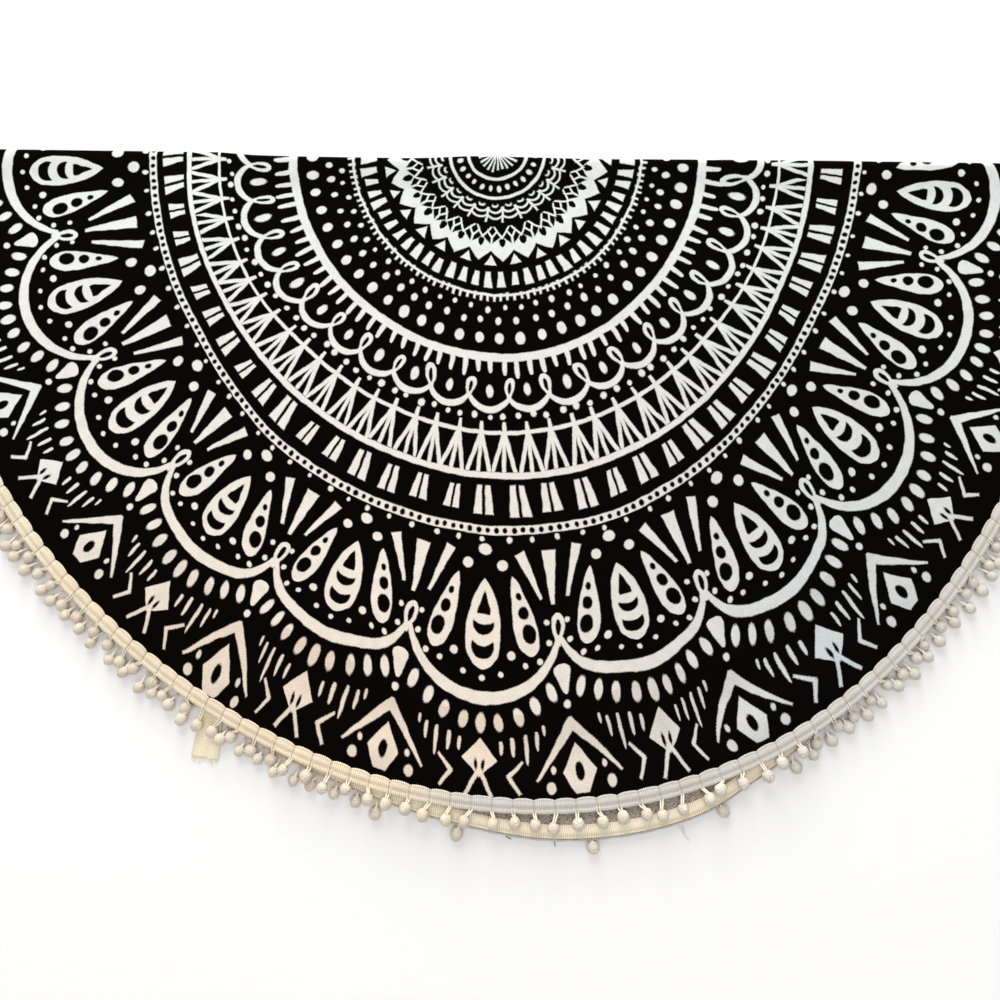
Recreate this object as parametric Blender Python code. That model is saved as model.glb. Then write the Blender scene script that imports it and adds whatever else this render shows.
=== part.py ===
"""A round cotton beach towel with a pompom braid, folded once and lying on a level surface.

The towel is a disc 1.5 m across. It is folded along a line close to its middle, printed side
out, so that it lies as two half discs, one on the other. Its fold runs along X at the far
side (+Y) and its rim curves round the near side (-Y). The lower layer's rim shows a little
beyond the upper one's.

Three pieces are sewn together:
    towel_cloth   the disc of terry cloth, one folded sheet
    pompom_braid  the braid on the printed face's rim, with its pompoms
    edge_tape     the ribbed tape on the reverse face's rim, with its loose end

Lengths are in metres. Angles are in degrees round the fold's middle, from straight towards
the viewer (-Y), and grow to the right (+X).
"""

import math
import random

import bmesh
import bpy
from mathutils import Matrix, Vector

# The cut sizes of the towel
RADIUS = 0.750
CLOTH_THICK = 0.0026
BRAID_WIDTH = 0.014
BRAID_THICK = 0.0020
TAPE_WIDTH = 0.015
TAPE_THICK = 0.0008
TAPE_INSET = 0.0010
TAIL_WIDTH = 0.029
POMPOMS_A_LAYER = 102
POMPOM_RADIUS = 0.0060
POMPOM_FLAT = 0.84  # its half height and half width at its flats, as a share of its radius
ROOT_WIDTH = 0.0024
STEM_HALF = 0.0009

# How it is folded and how it lies
FOLD_OFFSET = 0.0096
SEWN_GAP = 0.0004
LAYER_GAP = 0.0005
RIM_FLAT = 0.020
RIM_BEND = 0.042
RIM_SLOPE = 0.075
FOLD_RISE = 0.0044
FOLD_SLOPE = 0.045
WAVE_CLEAR = 0.060
BRAID_OVERHANG = 0.0012

# How far the upper rim is laid outside (+) or inside (-) a true circle, as a share of the radius
RIM_PULL = (  # angle, share
    (-90, -0.014),
    (-60, -0.030),
    (-35, -0.019),
    (-15, 0.007),
    (5, 0.035),
    (16, 0.042),
    (30, 0.034),
    (60, -0.010),
    (90, -0.003),
)

# How far the lower rim lies beyond the upper one
RIM_PEEK = (  # angle, metres
    (-90, 0.000),
    (-50, -0.002),
    (-30, 0.001),
    (-12, 0.006),
    (-2, 0.021),
    (6, 0.031),
    (17, 0.030),
    (23, 0.016),
    (30, 0.004),
    (50, -0.002),
    (90, 0.000),
)

# Where the lower layer's pompoms lie tucked under it, and so raise its rim
TUCK_HEIGHT = 0.0043
TUCK_FROM = -8.0
TUCK_TO = 26.0
TUCK_FADE = 14.0
TUCK_FREE = (3, 9, 15, 20)  # those of them that lie out in the open, counted from the left
TUCKED_HALF = 0.0019

# Soft waves in the upper layer, each a long rounded ridge
WAVES = (  # x, y from the fold, length, width, height, turn in degrees
    (-0.372, -0.130, 0.200, 0.050, 0.0080, 4),
    (-0.560, -0.200, 0.160, 0.070, 0.0050, -28),
    (-0.130, -0.560, 0.110, 0.060, 0.0030, 30),
    (0.560, -0.270, 0.190, 0.080, 0.0050, 38),
    (0.210, -0.130, 0.180, 0.090, 0.0022, 60),
)

# The tape's loose end, from the rim outwards: distance beyond the rim and height of its middle
TAIL_ANGLE = -24.9
TAIL_LEAN = 0.18
TAIL_UNDER = 2.2  # pompoms this near, in degrees, lie on it
TAIL_HIDES = 1.0  # a lower pompom this near would lie under it, and isn't there
TAIL_STEP = 0.0030
TAIL_PATH = (  # beyond the rim, height
    (0.0045, 0.0066),
    (0.0080, 0.0038),
    (0.0120, 0.0009),
    (0.0200, 0.0004),
    (0.0430, 0.0004),
)

# How the pompoms lie: beyond their braid, the lower row beyond the upper, and how they vary
POMPOM_REACH = 0.0125
POMPOM_NEXT_ROW = 0.0082
POMPOM_CLEAR = 0.0035
POMPOM_TURN = 7.0
POMPOM_STRETCH = 0.0008
RESTS_ON_TAPE = 0.006
ROW_STAGGER = 0.25
SEED = 7

# How finely the shapes are divided
CLOTH_COLUMNS = 48
CLOTH_RINGS = 8
FOLD_STEPS = 6


def eased(share):
    """A value from 0 to 1 with soft ends."""
    share = min(max(share, 0.0), 1.0)
    return share * share * (3 - 2 * share)


def along(table, angle):
    """The table's value at an angle, on a smooth curve through its rows."""
    last = len(table) - 1
    row = 0
    while row < last - 1 and angle > table[row + 1][0]:
        row += 1
    (start, a), (end, b) = table[row], table[row + 1]
    before = table[max(row - 1, 0)]
    after = table[min(row + 2, last)]
    into = (b - before[1]) / (end - before[0])
    out = (after[1] - a) / (after[0] - start)
    t = (angle - start) / (end - start)
    span = end - start
    return (
        a * (2 * t**3 - 3 * t**2 + 1)
        + b * (3 * t**2 - 2 * t**3)
        + into * span * (t**3 - 2 * t**2 + t)
        + out * span * (t**3 - t**2)
    )


def upper_reach(angle):
    """Distance from the fold's middle to the upper layer's rim."""
    shift = FOLD_OFFSET * math.cos(math.radians(angle))
    return RADIUS * (1 + along(RIM_PULL, angle)) - shift


def lower_reach(angle):
    """Distance from the fold's middle to the lower layer's rim."""
    return upper_reach(angle) + along(RIM_PEEK, angle)


def tuck_lift(angle):
    """How much the pompoms tucked under the lower rim raise it."""
    outside = max(TUCK_FROM - angle, angle - TUCK_TO, 0.0)
    return TUCK_HEIGHT * eased(1 - outside / TUCK_FADE)


def rim_share(inward):
    """1 on the flat rim, falling to 0 where the rise towards it starts."""
    return eased(1 - (inward - RIM_FLAT) / (RIM_SLOPE - RIM_FLAT))


def wave_height(x, y, inward):
    """Height of the soft waves at a point of the upper layer, none near its rim."""
    total = 0.0
    for wave_x, wave_y, length, width, height, turn in WAVES:
        turn = math.radians(turn)
        across = (x - wave_x) * math.cos(turn) + (y - wave_y) * math.sin(turn)
        down = (y - wave_y) * math.cos(turn) - (x - wave_x) * math.sin(turn)
        total += height * math.exp(-((across / width) ** 2) - (down / length) ** 2)
    return total * eased((inward - RIM_FLAT) / WAVE_CLEAR)


def lower_base(angle, inward):
    """Height of the lower layer's underside."""
    rim_rise = BRAID_THICK + SEWN_GAP + tuck_lift(angle)
    return rim_rise * rim_share(inward)


def upper_base(angle, inward):
    """Height of the upper layer's underside, clear of the lower layer and of both tapes."""
    settled = max(inward - RIM_FLAT, 0.0)
    below = settled + max(along(RIM_PEEK, angle), 0.0)
    tape_rise = SEWN_GAP + TAPE_THICK
    height = lower_base(angle, below) + CLOTH_THICK + tape_rise * rim_share(below)
    height += LAYER_GAP + tape_rise * rim_share(inward)
    out = upper_reach(angle) - inward
    x = out * math.sin(math.radians(angle))
    y = -out * math.cos(math.radians(angle))
    fold_share = eased(1 + y / FOLD_SLOPE)
    height += FOLD_RISE * fold_share * (1 - rim_share(inward))
    return height + wave_height(x, y, inward) * eased(-y / FOLD_SLOPE)


def at(angle, out, height):
    """The point this far out from the fold's middle, at an angle and a height."""
    turn = math.radians(angle)
    return Vector((out * math.sin(turn), -out * math.cos(turn), height))


def ring_insets(reach):
    """Distances inwards from the rim of all the cloth's rings, the middle point left out."""
    inner = reach - RIM_SLOPE
    shares = [1 - ring / CLOTH_RINGS for ring in range(1, CLOTH_RINGS)]
    return [0.0, RIM_FLAT, RIM_BEND, RIM_SLOPE, *(reach - inner * share for share in shares)]


def column_angles():
    """The angles of the cloth's columns."""
    return [-90 + 180 * column / CLOTH_COLUMNS for column in range(CLOTH_COLUMNS + 1)]


def cloth_layer(mesh, reach_at, base_at):
    """One half disc of the cloth's middle surface, as its columns of vertices and the middle one."""
    columns = []
    for angle in column_angles():
        reach = reach_at(angle)
        column = []
        for inward in ring_insets(reach):
            height = base_at(angle, inward) + CLOTH_THICK / 2
            column.append(mesh.verts.new(at(angle, reach - inward, height)))
        columns.append(column)
    middle = mesh.verts.new((0, 0, base_at(0, reach_at(0)) + CLOTH_THICK / 2))
    for left, right in zip(columns, columns[1:]):
        for ring in range(len(left) - 1):
            mesh.faces.new((left[ring], right[ring], right[ring + 1], left[ring + 1]))
        mesh.faces.new((left[-1], right[-1], middle))
    return columns, middle


def fold_row(columns, middle):
    """The vertices of a layer that lie on the fold, from left to right."""
    return [*columns[0], middle, *reversed(columns[-1])]


def bridge_fold(mesh, upper_row, lower_row):
    """Joins the two layers with a half round along the fold."""
    rows = [upper_row]
    for step in range(1, FOLD_STEPS):
        turn = math.pi * step / FOLD_STEPS
        row = []
        for upper, lower in zip(upper_row, lower_row):
            centre = (upper.co + lower.co) / 2
            half = (upper.co.z - lower.co.z) / 2
            shift = Vector((0, math.sin(turn), math.cos(turn))) * half
            row.append(mesh.verts.new(centre + shift))
        rows.append(row)
    rows.append(lower_row)
    for above, below in zip(rows, rows[1:]):
        for column in range(len(above) - 1):
            corners = (above[column], above[column + 1], below[column + 1], below[column])
            mesh.faces.new(corners)


def new_object(name, mesh, material):
    """Puts a bmesh into the scene as an object with a material."""
    bmesh.ops.recalc_face_normals(mesh, faces=mesh.faces)
    data = bpy.data.meshes.new(name)
    mesh.to_mesh(data)
    mesh.free()
    data.materials.append(material)
    made = bpy.data.objects.new(name, data)
    bpy.context.scene.collection.objects.link(made)
    data.shade_smooth()
    data.set_sharp_from_angle(angle=math.radians(40))
    return made


def make_cloth(material):
    """The folded disc: its middle surface, thickened to the cloth."""
    mesh = bmesh.new()
    upper_columns, upper_middle = cloth_layer(mesh, upper_reach, upper_base)
    lower_columns, lower_middle = cloth_layer(mesh, lower_reach, lower_base)
    upper_row = fold_row(upper_columns, upper_middle)
    lower_row = fold_row(lower_columns, lower_middle)
    bridge_fold(mesh, upper_row, lower_row)
    cloth = new_object("towel_cloth", mesh, material)
    solidify = cloth.modifiers.new("cloth thickness", "SOLIDIFY")
    solidify.thickness = CLOTH_THICK
    solidify.offset = 0
    solidify.use_even_offset = True
    return cloth


def rim_height(base_at, angle):
    """Height of a layer's underside at its rim, straight from one cloth column to the next."""
    pitch = 180 / CLOTH_COLUMNS
    before = pitch * math.floor(angle / pitch)
    share = (angle - before) / pitch
    return base_at(before, 0.0) * (1 - share) + base_at(before + pitch, 0.0) * share


def strip_station(angle, reach_at, height, thick, inset, width):
    """Four corners of a flat strip at the rim: inner low, inner high, outer high, outer low."""
    reach = reach_at(angle)
    inner = at(angle, reach - inset - width, height)
    outer = at(angle, reach - inset, height)
    lift = Vector((0, 0, thick))
    return [inner, inner + lift, outer + lift, outer]


def mirrored(station):
    """The same four corners for the layer below, in an order that carries on round the fold."""
    inner_low, inner_high, outer_high, outer_low = station
    return [inner_high, inner_low, outer_low, outer_high]


def turn_round(first, last):
    """Stations that carry a strip from one layer round the fold to the next."""
    stations = []
    for step in range(1, FOLD_STEPS):
        turn = math.pi * step / FOLD_STEPS
        corners = []
        for start, end in zip(first, last):
            centre = (start + end) / 2
            half = (start.z - end.z) / 2
            swing = Vector((0, abs(math.sin(turn) * half), math.cos(turn) * half))
            corners.append(centre + swing)
        stations.append(corners)
    return stations


def closed_strip(mesh, stations):
    """A ring of four walls through the stations. It returns the outer walls in order."""
    rows = [[mesh.verts.new(corner) for corner in station] for station in stations]
    outer_walls = []
    for here, there in zip(rows, [*rows[1:], rows[0]]):
        for corner in range(4):
            beside = (corner + 1) % 4
            wall = mesh.faces.new((here[corner], there[corner], there[beside], here[beside]))
            if corner == 2:
                outer_walls.append(wall)
    return outer_walls


def pull_out(mesh, wall, sections):
    """Extrudes a wall through sections of centre, side direction, up direction and half sizes."""
    centre = wall.calc_center_median()
    side = sections[0][1]
    up = Vector((0, 0, 1))
    for new_centre, new_side, new_up, half_side, half_up in sections:
        made = bmesh.ops.extrude_discrete_faces(mesh, faces=[wall])
        wall = made["faces"][0]
        corners = []
        for vert in wall.verts:
            offset = vert.co - centre
            to_side = math.copysign(half_side, offset.dot(side))
            to_up = math.copysign(half_up, offset.dot(up))
            corners.append((vert, new_centre + new_side * to_side + new_up * to_up))
        for vert, place in corners:
            vert.co = place
        centre, side, up = new_centre, new_side, new_up


def pompom_sections(start, outward, reach, rest_height):
    """A stem from the braid's edge and the pompom at its end, which rests at a height."""
    side = Vector((-outward.y, outward.x, 0))
    up = Vector((0, 0, 1))
    flat_half = POMPOM_FLAT * POMPOM_RADIUS
    level = rest_height + flat_half
    shape = (  # distance from the pompom's middle in radii, half size
        (-0.92, STEM_HALF),
        (-0.42, flat_half),
        (0.45, flat_half),
        (0.98, 0.43 * flat_half),
    )
    sections = []
    for share, half in shape:
        centre = start + outward * (reach + share * POMPOM_RADIUS)
        centre.z = level
        sections.append((centre, side, up, half, half))
    return sections


def tucked_sections(start, outward):
    """A stem that turns back under the braid, with its pompom pressed flat beneath the rim."""
    side = Vector((-outward.y, outward.x, 0))
    shape = (  # out from the wall, height, lean of the section, half width, half height
        (0.0019, 0.0044, -45, STEM_HALF, STEM_HALF),
        (0.0021, 0.0016, -135, STEM_HALF, STEM_HALF),
        (-0.0015, TUCKED_HALF, -180, 0.0046, TUCKED_HALF),
        (-0.0080, TUCKED_HALF, -180, 0.0052, TUCKED_HALF),
        (-0.0118, TUCKED_HALF, -180, 0.0024, 0.6 * TUCKED_HALF),
    )
    sections = []
    for out, height, lean, half_side, half_up in shape:
        centre = start + outward * out
        centre.z = height
        turn = math.radians(lean)
        up = outward * -math.sin(turn) + Vector((0, 0, math.cos(turn)))
        sections.append((centre, side, up, half_side, half_up))
    return sections


def outward_at(angle, reach_at):
    """The level direction square to the rim."""
    before = at(angle - 0.2, reach_at(angle - 0.2), 0)
    after = at(angle + 0.2, reach_at(angle + 0.2), 0)
    run = (after - before).normalized()
    return Vector((run.y, -run.x, 0))


def turned(direction, degrees):
    """A level direction turned to the side."""
    turn = math.radians(degrees)
    x = direction.x * math.cos(turn) - direction.y * math.sin(turn)
    y = direction.x * math.sin(turn) + direction.y * math.cos(turn)
    return Vector((x, y, 0))


def pompom_angle(number, shift):
    """The angle of a pompom's root, with its row shifted by a share of the pitch."""
    return -90 + 180 * (number + 0.5 + shift) / POMPOMS_A_LAYER


def braid_station(angle, reach_at, height_at):
    """The braid's four corners at an angle of one layer."""
    height = height_at(angle)
    return strip_station(angle, reach_at, height, BRAID_THICK, -BRAID_OVERHANG, BRAID_WIDTH)


def braid_stations(shift, reach_at, height_at):
    """The braid along one layer, from left to right, with a short wall for each pompom's root."""
    stations = []
    for number in range(POMPOMS_A_LAYER):
        middle = pompom_angle(number, shift)
        half = math.degrees(ROOT_WIDTH / 2 / RADIUS)
        for angle in (middle - half, middle + half):
            stations.append(braid_station(angle, reach_at, height_at))
    return stations


def upper_braid_height(angle):
    """Height of the braid's underside on the upper layer."""
    return rim_height(upper_base, angle) + CLOTH_THICK + SEWN_GAP


def lower_braid_height(angle):
    """Height of the braid's underside beneath the lower layer."""
    return rim_height(lower_base, angle) - SEWN_GAP - BRAID_THICK


def make_braid(material):
    """The braid round the printed face's rim, one closed ring with its pompoms."""
    mesh = bmesh.new()
    upper = braid_stations(-ROW_STAGGER, upper_reach, upper_braid_height)
    lower = braid_stations(ROW_STAGGER, lower_reach, lower_braid_height)
    lower = [mirrored(station) for station in reversed(lower)]
    tops = [braid_station(angle, upper_reach, upper_braid_height) for angle in (-90, 90)]
    bottoms = [braid_station(angle, lower_reach, lower_braid_height) for angle in (-90, 90)]
    bottoms = [mirrored(station) for station in bottoms]
    right_turn = [tops[1], *turn_round(tops[1], bottoms[1]), bottoms[1]]
    left_turn = [bottoms[0], *reversed(turn_round(tops[0], bottoms[0])), tops[0]]
    walls = closed_strip(mesh, [*upper, *right_turn, *lower, *left_turn])
    first_lower = len(upper) + len(right_turn)
    spread = random.Random(SEED)
    for number in range(POMPOMS_A_LAYER):
        add_upper_pompom(mesh, walls[2 * number], number, spread)
    for place in range(POMPOMS_A_LAYER):
        number = POMPOMS_A_LAYER - 1 - place
        add_lower_pompom(mesh, walls[first_lower + 2 * place], number, spread)
    return new_object("pompom_braid", mesh, material)


def add_upper_pompom(mesh, wall, number, spread):
    """A pompom of the upper layer, on the lower layer where that shows and else on the surface."""
    angle = pompom_angle(number, -ROW_STAGGER)
    outward = turned(outward_at(angle, upper_reach), spread.uniform(-POMPOM_TURN, POMPOM_TURN))
    peek = along(RIM_PEEK, angle)
    reach = POMPOM_REACH + spread.uniform(-POMPOM_STRETCH, POMPOM_STRETCH)
    rest = 0.0
    if peek > RESTS_ON_TAPE:
        rest = lower_tape_height(angle) + TAPE_THICK + SEWN_GAP
    else:
        reach = max(reach, peek + POMPOM_RADIUS + POMPOM_CLEAR)
    start = wall.calc_center_median()
    if tail_height(angle) > 0:
        rest = tail_height(angle)
        reach += TAIL_STEP
    pull_out(mesh, wall, pompom_sections(start, outward, reach, rest))


def tail_height(angle):
    """Height at which a pompom lies on the tape's loose end, 0 away from it."""
    return TAPE_THICK + 2 * SEWN_GAP if abs(angle - TAIL_ANGLE) < TAIL_UNDER else 0.0


def add_lower_pompom(mesh, wall, number, spread):
    """A pompom of the lower layer: beyond the upper ones, or tucked under the raised rim."""
    angle = pompom_angle(number, ROW_STAGGER)
    aside = spread.uniform(-POMPOM_TURN / 2, POMPOM_TURN / 2)
    outward = turned(outward_at(angle, lower_reach), aside)
    start = wall.calc_center_median()
    in_stretch = round((angle - TUCK_FROM) * POMPOMS_A_LAYER / 180)
    if TUCK_FROM <= angle <= TUCK_TO and in_stretch not in TUCK_FREE:
        pull_out(mesh, wall, tucked_sections(start, outward))
        return
    if abs(angle - TAIL_ANGLE) < TAIL_HIDES:
        return
    reach = POMPOM_REACH + max(POMPOM_NEXT_ROW - along(RIM_PEEK, angle), 0.0)
    pull_out(mesh, wall, pompom_sections(start, outward, reach, tail_height(angle)))


def tape_stations(angles, reach_at, height_at):
    """The tape along one layer, through these angles."""
    return [
        strip_station(angle, reach_at, height_at(angle), TAPE_THICK, TAPE_INSET, TAPE_WIDTH)
        for angle in angles
    ]


def upper_tape_height(angle):
    """Height of the tape's underside beneath the upper layer."""
    return rim_height(upper_base, angle) - SEWN_GAP - TAPE_THICK


def lower_tape_height(angle):
    """Height of the tape's underside on the lower layer."""
    return rim_height(lower_base, angle) + CLOTH_THICK + SEWN_GAP


def make_tape(material):
    """The tape round the reverse face's rim, one closed ring with its loose end."""
    mesh = bmesh.new()
    half = math.degrees(TAIL_WIDTH / 2 / RADIUS)
    tail = (TAIL_ANGLE - half, TAIL_ANGLE + half)
    clear = [angle for angle in column_angles() if not tail[0] - 1 < angle < tail[1] + 1]
    upper_angles = sorted([*clear, *tail])
    upper = tape_stations(upper_angles, upper_reach, upper_tape_height)
    lower = tape_stations(reversed(column_angles()), lower_reach, lower_tape_height)
    lower = [mirrored(station) for station in lower]
    right_turn = turn_round(upper[-1], lower[0])
    left_turn = list(reversed(turn_round(upper[0], lower[-1])))
    walls = closed_strip(mesh, [*upper, *right_turn, *lower, *left_turn])
    add_tail(mesh, walls[upper_angles.index(tail[0])])
    return new_object("edge_tape", mesh, material)


def add_tail(mesh, wall):
    """The loose end: it comes out between the layers, drops off the rim and lies on the surface."""
    outward = outward_at(TAIL_ANGLE, upper_reach)
    side = Vector((-outward.y, outward.x, 0))
    start = wall.calc_center_median()
    points = [start + outward * out for out, _ in TAIL_PATH]
    for point, (_, height) in zip(points, TAIL_PATH):
        point.z = height
    sections = []
    for number, point in enumerate(points):
        before = points[number - 1] if number else start
        after = points[min(number + 1, len(points) - 1)]
        run = (after - before).normalized()
        up = side.cross(run).normalized()
        if up.z < 0:
            up = -up
        aside = side * TAIL_LEAN * TAIL_PATH[number][0]
        sections.append((point + aside, side, up, TAIL_WIDTH / 2, TAPE_THICK / 2))
    pull_out(mesh, wall, sections)


def plain_material(name, colour, roughness):
    """A Principled material of one colour."""
    material = bpy.data.materials.new(name)
    material.use_nodes = True
    shader = material.node_tree.nodes["Principled BSDF"]
    shader.inputs["Base Color"].default_value = (*colour, 1)
    shader.inputs["Roughness"].default_value = roughness
    shader.inputs["Metallic"].default_value = 0
    material.diffuse_color = (*colour, 1)
    return material


def centre_on_floor(objects):
    """Moves all the pieces together, so that the origin lies under the middle of their box."""
    graph = bpy.context.evaluated_depsgraph_get()
    points = []
    for piece in objects:
        shown = piece.evaluated_get(graph)
        data = shown.to_mesh()
        points.extend(vert.co.copy() for vert in data.vertices)
        shown.to_mesh_clear()
    shift = Vector((0, 0, 0))
    for axis in (0, 1):
        places = [point[axis] for point in points]
        shift[axis] = -(min(places) + max(places)) / 2
    shift.z = -min(point.z for point in points)
    for piece in objects:
        piece.data.transform(Matrix.Translation(shift))


def main():
    """Clears the scene and builds the towel."""
    for old in list(bpy.data.objects):
        bpy.data.objects.remove(old)
    cloth = make_cloth(plain_material("black velour terry", (0.012, 0.012, 0.014), 0.95))
    braid = make_braid(plain_material("cream cotton braid", (0.80, 0.74, 0.62), 0.9))
    tape = make_tape(plain_material("cream ribbed tape", (0.82, 0.73, 0.55), 0.85))
    centre_on_floor([cloth, braid, tape])


main()
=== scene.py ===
"""The looks of a round cotton beach towel, folded in half and lying flat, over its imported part.

The towel's rim, fold and heights are worked out from the same named sizes as the part. On them
lie the printed velour cloth, the scalloped braid with its pompoms on two-thread loops, and the
ribbed tape with its loose end. The print is drawn by nodes, ring by ring, in the flat cloth's
own coordinates, so it bends with the cloth and carries on round the fold.

Lengths are in metres and the print's are in millimetres. Angles go round the fold's middle, or
round the print's, from straight towards the viewer (-Y), and grow to the right (+X).
"""

from __future__ import annotations

import itertools
import logging
import math
import random
from dataclasses import dataclass, field
from enum import Enum
from typing import Callable, Iterable, Sequence

import bmesh
import bpy
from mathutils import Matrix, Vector
from mathutils.noise import noise


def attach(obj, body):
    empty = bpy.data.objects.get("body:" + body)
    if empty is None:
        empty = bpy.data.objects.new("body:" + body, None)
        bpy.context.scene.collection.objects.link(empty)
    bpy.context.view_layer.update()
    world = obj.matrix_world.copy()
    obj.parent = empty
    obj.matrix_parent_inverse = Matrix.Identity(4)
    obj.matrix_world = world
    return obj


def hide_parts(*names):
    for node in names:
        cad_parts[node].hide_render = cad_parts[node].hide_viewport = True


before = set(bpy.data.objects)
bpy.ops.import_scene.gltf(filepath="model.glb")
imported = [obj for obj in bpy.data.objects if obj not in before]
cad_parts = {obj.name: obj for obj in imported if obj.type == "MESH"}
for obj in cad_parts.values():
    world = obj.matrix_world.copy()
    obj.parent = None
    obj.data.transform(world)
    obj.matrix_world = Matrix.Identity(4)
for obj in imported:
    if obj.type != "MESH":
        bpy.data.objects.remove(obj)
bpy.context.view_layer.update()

logging.basicConfig(level=logging.INFO, format="%(message)s")
log = logging.getLogger("towel")

MM = 0.001
WELD = 1e-6  # points nearer than this are one
MIX_A, MIX_B, MIXED = 6, 7, 2  # the numbers of a Mix node's two colour inputs and its output
Value = "Field | float"
Table = Sequence[tuple[float, float]]
Point = tuple[float, float, float]


# ---------------------------------------------------------------- helpers


def linear(hex_colour: str) -> tuple[float, float, float, float]:
    """Turns an sRGB hex colour into linear red, green, blue and alpha.

    Args:
        hex_colour: six hex digits, such as "f3ead9".

    Returns:
        The four linear values, with an alpha of 1.
    """
    parts = [int(hex_colour[i : i + 2], 16) / 255 for i in (0, 2, 4)]
    flat = [c / 12.92 if c <= 0.04045 else ((c + 0.055) / 1.055) ** 2.4 for c in parts]
    return (flat[0], flat[1], flat[2], 1.0)


def add_node(
    tree: bpy.types.NodeTree, kind: str, links: dict | None = None, **settings: object
) -> bpy.types.Node:
    """Adds a node with its settings and links.

    Args:
        tree: the node tree.
        kind: the node's type name, without "ShaderNode".
        links: for each input's name or number, a socket to link or a value to set.
        settings: the node's own properties.

    Returns:
        The new node.
    """
    node = tree.nodes.new("ShaderNode" + kind)
    for name, value in settings.items():
        setattr(node, name, value)
    for name, value in (links or {}).items():
        if isinstance(value, Field):
            value = value.socket
        if isinstance(value, bpy.types.NodeSocket):
            tree.links.new(value, node.inputs[name])
        else:
            node.inputs[name].default_value = value
    return node


def eased(share: float) -> float:
    """Returns a value from 0 to 1 with soft ends."""
    share = min(max(share, 0.0), 1.0)
    return share * share * (3 - 2 * share)


def along(table: Table, place: float) -> float:
    """Reads a table on a smooth curve through its rows.

    Args:
        table: rows of place and value, in order.
        place: where to read it.

    Returns:
        The value there.
    """
    last = len(table) - 1
    row = 0
    while row < last - 1 and place > table[row + 1][0]:
        row += 1
    (start, a), (end, b) = table[row], table[row + 1]
    before, after = table[max(row - 1, 0)], table[min(row + 2, last)]
    into = (b - before[1]) / (end - before[0])
    out = (after[1] - a) / (after[0] - start)
    span = end - start
    t = min(max((place - start) / span, 0.0), 1.0)
    rest = a * (2 * t**3 - 3 * t**2 + 1) + b * (3 * t**2 - 2 * t**3)
    return rest + into * span * (t**3 - 2 * t**2 + t) + out * span * (t**3 - t**2)


def level(angle: float, out: float, height: float = 0.0) -> Vector:
    """Returns the point this far out at an angle in degrees, and at a height."""
    turn = math.radians(angle)
    return Vector((out * math.sin(turn), -out * math.cos(turn), height))


def new_material(name: str) -> tuple[bpy.types.Material, bpy.types.NodeTree, bpy.types.Node]:
    """Makes a material.

    Args:
        name: its name.

    Returns:
        The material, its node tree and its shader.
    """
    made = bpy.data.materials.new(name)
    made.use_nodes = True
    return made, made.node_tree, made.node_tree.nodes["Principled BSDF"]


def finished(
    name: str, mesh: bmesh.types.BMesh, materials: Sequence[bpy.types.Material]
) -> bpy.types.Object:
    """Makes a smooth object of a bmesh, with its materials, riding on the part's body.

    Args:
        name: the piece's name.
        mesh: its bmesh, which is freed.
        materials: its materials in slot order.

    Returns:
        The object.
    """
    data = bpy.data.meshes.new(name)
    mesh.to_mesh(data)
    mesh.free()
    for material in materials:
        data.materials.append(material)
    data.shade_smooth()
    made = bpy.data.objects.new(name, data)
    bpy.context.scene.collection.objects.link(made)
    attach(made, "root")
    log.info("%s: %d faces", name, len(data.polygons))
    return made


# ---------------------------------------------------------------- how the towel lies


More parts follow.
